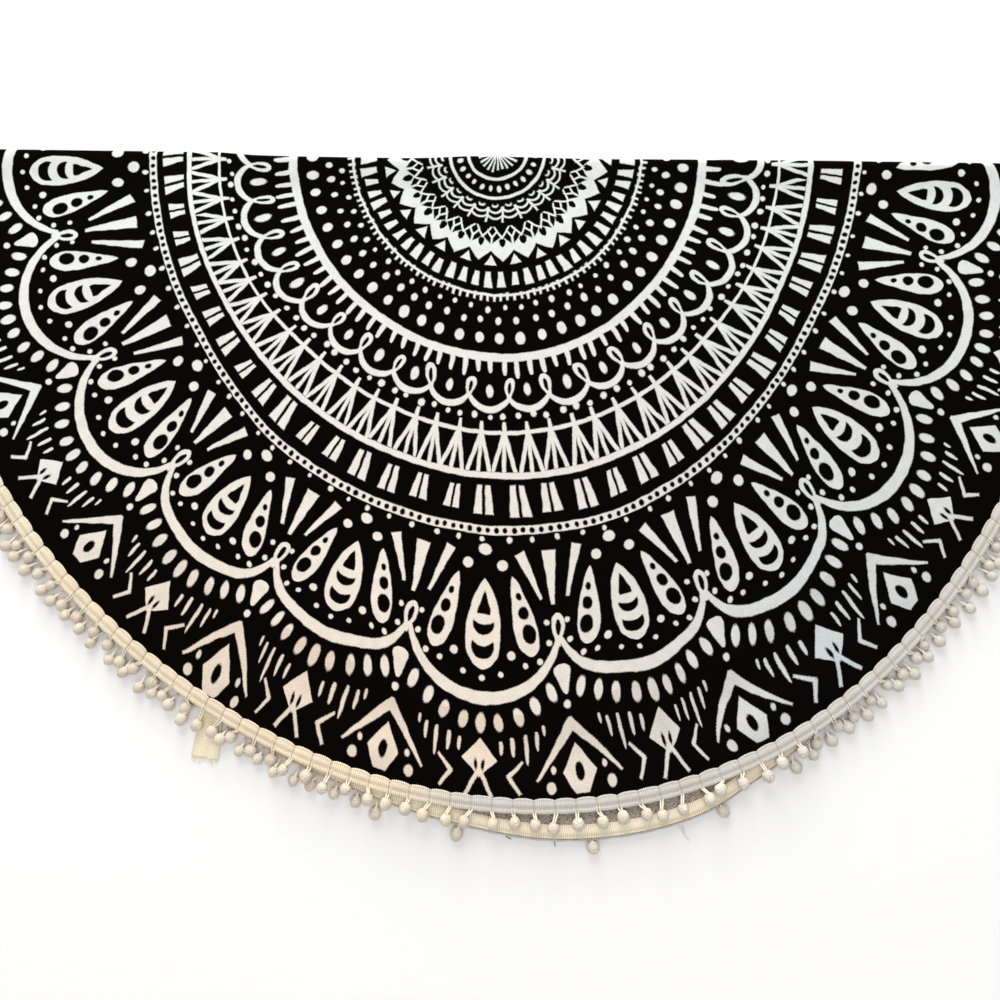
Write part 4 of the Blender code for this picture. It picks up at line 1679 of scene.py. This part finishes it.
@dataclass
class Pompoms:
    """The wound yarn balls that hang from the braid on loops of two threads."""

    path: RimPath = RimPath(Face.PRINTED)
    braid_outset: float = 0.0012  # how far the braid stands out from the cloth's rim
    wide: float = 0.0071  # half a ball's width, length and height
    long: float = 0.0082
    tall: float = 0.0059
    smallest: float = 0.88  # the range of the balls' sizes
    largest: float = 1.05
    uneven: float = 0.13
    lumps: float = 1.8
    taper: float = 0.10  # how much narrower a ball is towards its thread
    dimple: float = 0.20  # how deep it is dimpled there
    dimple_from: float = 0.72
    reach: float = 0.0125  # these six are the part's: how far a ball's middle lies out,
    next_row: float = 0.0082  # and is kept out of the row above,
    part_radius: float = 0.0060
    clear: float = 0.0035  # its clearance from the lower rim,
    turn: float = 7.0  # how far it leans aside in degrees,
    stretch: float = 0.0008  # and how much its reach varies
    rests_on_tape: float = 0.006  # where the lower rim lies further out than this
    tail_under: float = 2.2  # degrees within which a ball lies on the tape's loose end
    tail_hides: float = 1.0  # and within which the lower row has none
    tail_step: float = 0.0030
    tucked_free: tuple[int, ...] = (3, 9, 15, 20)  # these of the tucked stretch peep out
    tucked_reach: float = 0.0094
    tuck_in: float = 0.0048  # how far under the rim a tucked one lies, and how high
    tuck_rise: float = 0.0022
    tuck_flat: float = 0.36
    tuck_press: float = 0.8
    strewn_along: float = 0.0050
    strewn_out: float = 0.0032
    touch: float = 0.0124  # two balls nearer than this are parted
    settle_rounds: int = 10
    yarn: float = 0.0010
    over_lip: float = 0.3  # the share of the loops that pass over the braid's lip
    over_inset: float = 0.0034  # how far in from the rim these start
    under_inset: float = 0.0004  # where the others start, and how high
    under_rise: float = 0.0006
    lip_rise: float = 0.0019  # how high the first lie on the lip, and in the lower row
    lip_rise_below: float = 0.0009
    root_sunk: float = 0.0004
    lip_out: float = 0.0012
    drop_out: float = 0.0030  # this far beyond the rim they have come down to the next height
    drop_rise: float = 0.0006
    thread_apart: tuple[float, float] = (0.045, 0.075)  # in pitches, from the loop's middle
    near: Point = (0.78, 0.0011, 0.55)  # share of the ball's length, apart, share of its height
    inside: Point = (0.35, 0.0006, 0.25)
    seed: int = 7
    balls: list[Ball] = field(default_factory=list)

    def angle(self, number: int, shift: float) -> float:
        """Returns the angle of a pompom's root, as in the part."""
        return -90 + 180 * (number + 0.5 + shift) / self.path.a_layer

    def on_tail(self, angle: float) -> float:
        """Returns the height of the tape's loose end under a pompom, 0 away from it."""
        near = abs(angle - LIE.tail_angle) < self.tail_under
        return LIE.tape + 2 * LIE.sewn_gap if near else 0.0

    def lay(
        self,
        place: float,
        reach_at: Callable[[float], float],
        reach: float,
        rest: float,
        aside: float,
    ) -> None:
        """Lays one pompom.

        Args:
            place: its place round the rim, in pitches.
            reach_at: the layer's rim.
            reach: how far its middle lies beyond the braid.
            rest: the height it rests on.
            aside: how far it leans to the side, in degrees.
        """
        angle = self.path.station(place)[0]
        start = LIE.in_frame(level(angle, reach_at(angle) + self.braid_outset))
        cos, sin = math.cos(math.radians(aside)), math.sin(math.radians(aside))
        out = self.path.outward(place)
        out = Vector((out.x * cos - out.y * sin, out.x * sin + out.y * cos, 0))
        middle = start + out * reach
        middle.z = rest + self.tall
        self.balls.append(Ball(place, middle, out))

    def lay_all(self) -> None:
        """Lays both rows, in the same order of chance as in the part."""
        spread = random.Random(self.seed)
        count = self.path.a_layer
        for number in range(count):
            angle = self.angle(number, -self.path.stagger)
            aside = spread.uniform(-self.turn, self.turn)
            peek = along(LIE.rim_peek, angle)
            reach = self.reach + spread.uniform(-self.stretch, self.stretch)
            rest = 0.0
            if peek > self.rests_on_tape:
                rest = LIE.lower_base(angle, 0.0) + LIE.cloth + LIE.sewn_gap + LIE.tape
            else:
                reach = max(reach, peek + self.part_radius + self.clear)
            if self.on_tail(angle):
                rest = self.on_tail(angle)
                reach += self.tail_step
            self.lay(number, LIE.upper_reach, reach, rest, aside)
        for place in range(count):
            number = count - 1 - place
            angle = self.angle(number, self.path.stagger)
            aside = spread.uniform(-self.turn / 2, self.turn / 2)
            in_stretch = round((angle - LIE.tuck_from) * count / 180)
            here = count + 1 + place
            if LIE.tuck_from <= angle <= LIE.tuck_to and in_stretch not in self.tucked_free:
                self.tuck(here)
            elif abs(angle - LIE.tail_angle) >= self.tail_hides:
                reach = self.reach + max(self.next_row - along(LIE.rim_peek, angle), 0.0)
                if LIE.tuck_from <= angle <= LIE.tuck_to:
                    reach = self.tucked_reach
                self.lay(here, LIE.lower_reach, reach, self.on_tail(angle), aside)

    def settle(self) -> None:
        """Strews the balls a little, then parts the ones that overlap, so some lie in clusters."""
        strewn = random.Random(self.seed + 2)
        free = [ball for ball in self.balls if ball.flat == 1.0]
        starts = [ball.middle.copy() for ball in free]
        for ball in free:
            aside = strewn.uniform(-1, 1) * self.strewn_along
            out = strewn.uniform(-1, 1) * self.strewn_out
            ball.middle += ball.side * aside + ball.outward * out
        for _ in range(self.settle_rounds):
            for one, other in itertools.combinations(free, 2):
                gap = (other.middle - one.middle) * Vector((1, 1, 0))
                overlap = self.touch - gap.length
                if overlap > 0:
                    gap.normalize()
                    one.middle -= gap * overlap / 2
                    other.middle += gap * overlap / 2
            for ball, start in zip(free, starts):
                inward = -self.strewn_out - (ball.middle - start).dot(ball.outward)
                ball.middle += ball.outward * max(inward, 0.0)

    def tuck(self, place: float) -> None:
        """Lays one pompom pressed flat under the lower rim.

        Args:
            place: its place round the rim, in pitches.
        """
        angle = self.path.station(place)[0]
        middle = LIE.in_frame(level(angle, LIE.lower_reach(angle) - self.tuck_in, self.tuck_rise))
        self.balls.append(Ball(place, middle, self.path.outward(place), self.tuck_flat))

    def ball_mesh(self, wind: random.Random) -> bmesh.types.BMesh:
        """Makes the balls: each a little uneven, and dimpled where its threads go in.

        Args:
            wind: gives each ball its size, lumps and winding.

        Returns:
            All the balls.
        """
        mesh = bmesh.new()
        trim = mesh.loops.layers.uv.new("trim")
        for ball in self.balls:
            made = bmesh.ops.create_icosphere(mesh, subdivisions=2, radius=1.0)
            size = wind.uniform(self.smallest, self.largest)
            phase = Vector([wind.uniform(0, 9) for _ in range(3)])
            axes = [Vector([wind.uniform(-1, 1) for _ in range(3)]) for _ in range(2)]
            winding = [axis.normalized() * self.wide for axis in axes]
            press = self.tuck_press if ball.flat < 1 else 1.0
            for face in {face for vert in made["verts"] for face in vert.link_faces}:
                for loop in face.loops:
                    loop[trim].uv = [loop.vert.co.dot(axis) for axis in winding]
            for vert in made["verts"]:
                spot = vert.co.normalized()
                out, across = spot.dot(ball.outward), spot.dot(ball.side)
                taper = 1 - self.taper * max(0.0, -out)
                in_dimple = max(0.0, -out - self.dimple_from) / (1 - self.dimple_from)
                shape = ball.outward * (out * self.long * (1 - self.dimple * in_dimple) * press)
                shape += ball.side * (across * self.wide * taper)
                shape *= size * (1 + self.uneven * noise(spot * self.lumps + phase))
                shape.z = spot.z * self.tall * taper * ball.flat
                vert.co = ball.middle + shape
        return mesh

    def in_ball(self, ball: Ball, hand: int, shares: Point) -> Vector:
        """Finds a point of a loop's thread by or in its ball.

        Args:
            ball: the ball.
            hand: the thread's side, -1 or 1.
            shares: the share of the ball's half length that the point lies towards the braid, its
                distance from the loop's middle and the share of the half height it lies up.

        Returns:
            The point.
        """
        back, apart, up = shares
        point = ball.middle - ball.outward * self.long * back + ball.side * hand * apart
        point.z = ball.middle.z + self.tall * up * ball.flat
        return point

    def loops(self, twist: random.Random) -> list[list[Vector]]:
        """Leads the two threads of each loop from the braid, over or through its lip, to the ball.

        Args:
            twist: gives each loop its way out and its spread.

        Returns:
            Each thread's points.
        """
        lines = []
        for ball in self.balls:
            inner, rise = self.under_inset, self.under_rise
            if twist.random() < self.over_lip:
                below = self.path.below(ball.place)
                inner, rise = self.over_inset, self.lip_rise_below if below else self.lip_rise
            for hand in (-1, 1):
                place = ball.place + hand * twist.uniform(*self.thread_apart)
                root = self.path.point(place, inner, rise - self.root_sunk)
                groove = self.path.point(place, inner - self.lip_out, rise)
                lip = self.path.point(place, -self.lip_out, rise)
                drop = self.path.point(place, -self.drop_out, self.drop_rise)
                near = self.in_ball(ball, hand, self.near)
                inside = self.in_ball(ball, hand, self.inside)
                if ball.flat < 1:
                    near = (drop + inside) / 2
                line = [root, groove, lip, drop, (drop + near) / 2, near, inside]
                for point in line:
                    point.z = max(point.z, self.yarn)
                lines.append(line)
        return lines

    def build(self) -> list[bpy.types.Object]:
        """Builds the balls and their loops.

        Returns:
            The balls and the loops.
        """
        self.lay_all()
        self.settle()
        wind = random.Random(self.seed + 1)
        balls = finished("pompom_balls", self.ball_mesh(wind), [BALL_YARN.material()])
        loops = tubes("pompom_loops", self.loops(wind), self.yarn, LOOP_YARN.material())
        return [balls, loops]


@dataclass
class LooseEnd:
    """The tape's loose end, which comes out between the layers and lies on the surface."""

    near: float = 0.2  # degrees to either side, between which the rim's direction is taken
    lean: float = 0.40
    shift: float = -0.0050
    width: float = 0.027
    flare: float = 0.26
    flare_from: float = 0.008
    flare_over: float = 0.040
    ripple: float = 0.0003
    ripple_across: float = 420.0  # radians a metre
    ripple_along: float = 90.0
    ripple_over: float = 0.02
    curl: float = 0.0022  # how high its right edge curls up, from so far aside, till so far out
    curl_from: float = 0.008
    curl_over: float = 0.006
    curl_end: float = 0.034
    curl_fade: float = 0.012
    rows: int = 60
    columns: int = 28
    map_long: float = 0.062  # the length of its map
    last_row: float = 0.99  # beyond this share of its length it is ragged
    ragged: tuple[float, float] = (-0.0012, 0.0014)
    frays: int = 34
    fray_sunk: float = 0.002
    fray_long: tuple[float, float] = (0.003, 0.008)
    fray_drift: float = 0.003
    fray_radius: float = 0.0003
    seed: int = 5
    path: Table = (  # beyond the rim, height of its middle
        (-0.0140, 0.0062),
        (-0.0010, 0.0062),
        (0.0045, 0.0058),
        (0.0085, 0.0034),
        (0.0125, 0.0014),
        (0.0200, 0.0008),
        (0.0500, 0.0007),
    )
    ends: tuple[float, float] = (0.0530, 0.0425)  # how far out its two corners lie

    def end(self, aside: float) -> float:
        """Returns how far out the end lies at a share of the width from the middle."""
        return self.ends[0] * (0.5 - aside) + self.ends[1] * (0.5 + aside)

    def frame(self) -> tuple[Vector, Vector, Vector]:
        """Finds where the loose end comes out.

        Returns:
            The rim's point, the direction outwards and the one to the side.
        """
        angle = LIE.tail_angle
        start = LIE.in_frame(level(angle, LIE.upper_reach(angle)))
        first, last = angle - self.near, angle + self.near
        before, after = level(first, LIE.upper_reach(first)), level(last, LIE.upper_reach(last))
        side = (after - before).normalized()
        return start, Vector((side.y, -side.x, 0)), side

    def place(self, out: float, aside: float) -> Vector:
        """Finds a point of the tape's middle surface.

        Args:
            out: the distance out from the rim.
            aside: the distance to the side of the tape's middle.

        Returns:
            The point, in the part's frame.
        """
        start, outward, side = self.frame()
        wave = math.sin(aside * self.ripple_across + out * self.ripple_along)
        ripple = self.ripple * (1 + wave) * eased(out / self.ripple_over)
        curl = self.curl * eased((aside - self.curl_from) / self.curl_over)
        curl *= eased(out / self.curl_fade) * eased((self.curl_end - out) / self.curl_fade)
        wide = aside * (1 + self.flare * eased((out - self.flare_from) / self.flare_over))
        point = start + outward * out + side * (wide + self.shift + self.lean * out)
        point.z = along(self.path, out) + ripple + curl
        return point

    def build(self) -> list[bpy.types.Object]:
        """Builds the loose end and the threads that fray from it.

        Returns:
            The loose end and its frayed threads.
        """
        mesh = bmesh.new()
        trim = mesh.loops.layers.uv.new("trim")
        bmesh.ops.create_grid(mesh, x_segments=self.columns, y_segments=self.rows, size=0.5)
        chance = random.Random(self.seed)
        inner = self.path[0][0]
        for face in mesh.faces:
            for loop in face.loops:
                x, y = loop.vert.co.x, loop.vert.co.y + 0.5
                loop[trim].uv = (inner + y * self.map_long, (x + 0.5) * self.width)
        for vert in mesh.verts:
            x, y = vert.co.x, vert.co.y + 0.5
            out = inner + (self.end(x) - inner) * y
            if y > self.last_row:
                out += chance.uniform(*self.ragged)
            vert.co = self.place(out, x * self.width)
        bmesh.ops.recalc_face_normals(mesh, faces=mesh.faces)
        end_piece = finished("edge_tape_loose_end", mesh, [TAIL_YARN.material()])
        thick = end_piece.modifiers.new("tape thickness", "SOLIDIFY")
        thick.thickness = LIE.tape
        thick.offset = 0.0
        lines = []
        for _ in range(self.frays):
            aside = chance.uniform(-0.5, 0.5)
            start = self.end(aside) - self.fray_sunk
            drift = chance.uniform(-self.fray_drift, self.fray_drift)
            long = chance.uniform(*self.fray_long)
            line = [
                self.place(start + long * t, aside * self.width + drift * t * t)
                for t in (0, 0.4, 0.7, 1)
            ]
            lines.append(line)
        yarn = TAPE_YARN.material()
        frays = tubes("edge_tape_frays", lines, self.fray_radius, yarn)
        return [end_piece, frays]


@dataclass(frozen=True)
class StrayThreads:
    """The few ends of thread that stick out from under the lower rim, in the part's frame."""

    cream: tuple[tuple[Point, ...], ...] = (
        (
            (0.2066, -0.3703, 0.0060),
            (0.2105, -0.3748, 0.0055),
            (0.2125, -0.3800, 0.0030),
            (0.2222, -0.3923, 0.0006),
        ),
        ((0.2110, -0.3690, 0.0050), (0.2168, -0.3780, 0.0020), (0.2172, -0.3860, 0.0006)),
    )
    dark: tuple[tuple[Point, ...], ...] = (
        ((0.0174, -0.3902, 0.0030), (0.0198, -0.3932, 0.0008), (0.0234, -0.3940, 0.0006)),
        ((0.0710, -0.3925, 0.0030), (0.0719, -0.3968, 0.0008), (0.0727, -0.4008, 0.0006)),
    )
    cream_radius: float = 0.0005
    dark_radius: float = 0.0004

    def build(self) -> list[bpy.types.Object]:
        """Builds the threads.

        Returns:
            The cream threads and the dark ones.
        """
        yarn, slot = LOOP_YARN.material(), "edge_tape"
        cream = tubes("edge_tape_cream_threads", self.cream, self.cream_radius, yarn)
        yarn = SEWING_THREAD.material()
        dark = tubes("edge_tape_dark_threads", self.dark, self.dark_radius, yarn)
        return [cream, dark]


# ---------------------------------------------------------------- the studio


@dataclass(frozen=True)
class Lamp:
    """A square soft light that faces the towel: its place, its side in metres and its power."""

    name: str
    place: Point
    side: float
    power: float
    colour: str = "ffffff"

    def build(self) -> None:
        """Adds the light."""
        data = bpy.data.lights.new(self.name, "AREA")
        data.size = self.side
        data.energy = self.power
        data.color = linear(self.colour)[:3]
        lamp = bpy.data.objects.new(self.name, data)
        lamp.location = self.place
        lamp.rotation_euler = (-Vector(self.place)).to_track_quat("-Z", "Y").to_euler()
        bpy.context.scene.collection.objects.link(lamp)


@dataclass(frozen=True)
class Studio:
    """The plain pale floor, the soft lights and the camera above."""

    lens: float = 32.4
    sensor: float = 36.0
    shift_up: float = -0.15
    place: Point = (0.0053, -0.0220, 1.0852)
    turn: Point = (9.574, 0.0, 0.848)  # degrees
    floor_half: float = 6.0
    floor_cuts: int = 8
    floor_gap: float = 0.0004  # the floor lies this far under the towel
    room: float = 0.565  # the strength of the light from all round
    paper: str = "f7f7f7"
    lamps: tuple[Lamp, ...] = (
        Lamp("key", (-0.8, 3.6, 2.1), 2.6, 110.0, "fffdf8"),
        Lamp("low", (-0.5, 4.2, 0.65), 1.6, 125.0),
        Lamp("overhead", (0.0, -0.3, 3.2), 3.0, 30.0),
    )

    def floor(self) -> None:
        """Makes the floor: white paper, a plain matt ground that takes only the faint shadow."""
        mesh = bmesh.new()
        cuts = self.floor_cuts
        bmesh.ops.create_grid(mesh, x_segments=cuts, y_segments=cuts, size=self.floor_half)
        bmesh.ops.translate(mesh, verts=mesh.verts, vec=(0, 0, -self.floor_gap))
        data = bpy.data.meshes.new("floor")
        mesh.to_mesh(data)
        mesh.free()
        made, _, shader = new_material("white studio paper")
        shader.inputs["Base Color"].default_value = linear(self.paper)
        shader.inputs["Roughness"].default_value = 1.0
        shader.inputs["Specular IOR Level"].default_value = 0.0
        data.materials.append(made)
        floor = bpy.data.objects.new("floor", data)
        bpy.context.scene.collection.objects.link(floor)

    def build(self) -> None:
        """Builds the floor, the lights and the camera."""
        self.floor()
        world = bpy.data.worlds.new("soft white room")
        world.use_nodes = True
        background = world.node_tree.nodes["Background"]
        background.inputs["Color"].default_value = linear("ffffff")
        background.inputs["Strength"].default_value = self.room
        bpy.context.scene.world = world
        for lamp in self.lamps:
            lamp.build()
        data = bpy.data.cameras.new("camera")
        data.lens = self.lens
        data.sensor_width = self.sensor
        data.shift_y = self.shift_up
        camera = bpy.data.objects.new("camera", data)
        camera.location = self.place
        camera.rotation_euler = [math.radians(angle) for angle in self.turn]
        bpy.context.scene.collection.objects.link(camera)
        bpy.context.scene.camera = camera
        bpy.context.scene.view_settings.view_transform = "Standard"


def main() -> None:
    """Builds the towel's pieces in order, and the studio."""
    cloth = Cloth().build()
    trims = [Braid().build(), Tape().build(), *Pompoms().build()]
    trims += [*LooseEnd().build(), *StrayThreads().build()]
    Studio().build()
    bpy.context.view_layer.update()


if __name__ == "__main__":
    main()
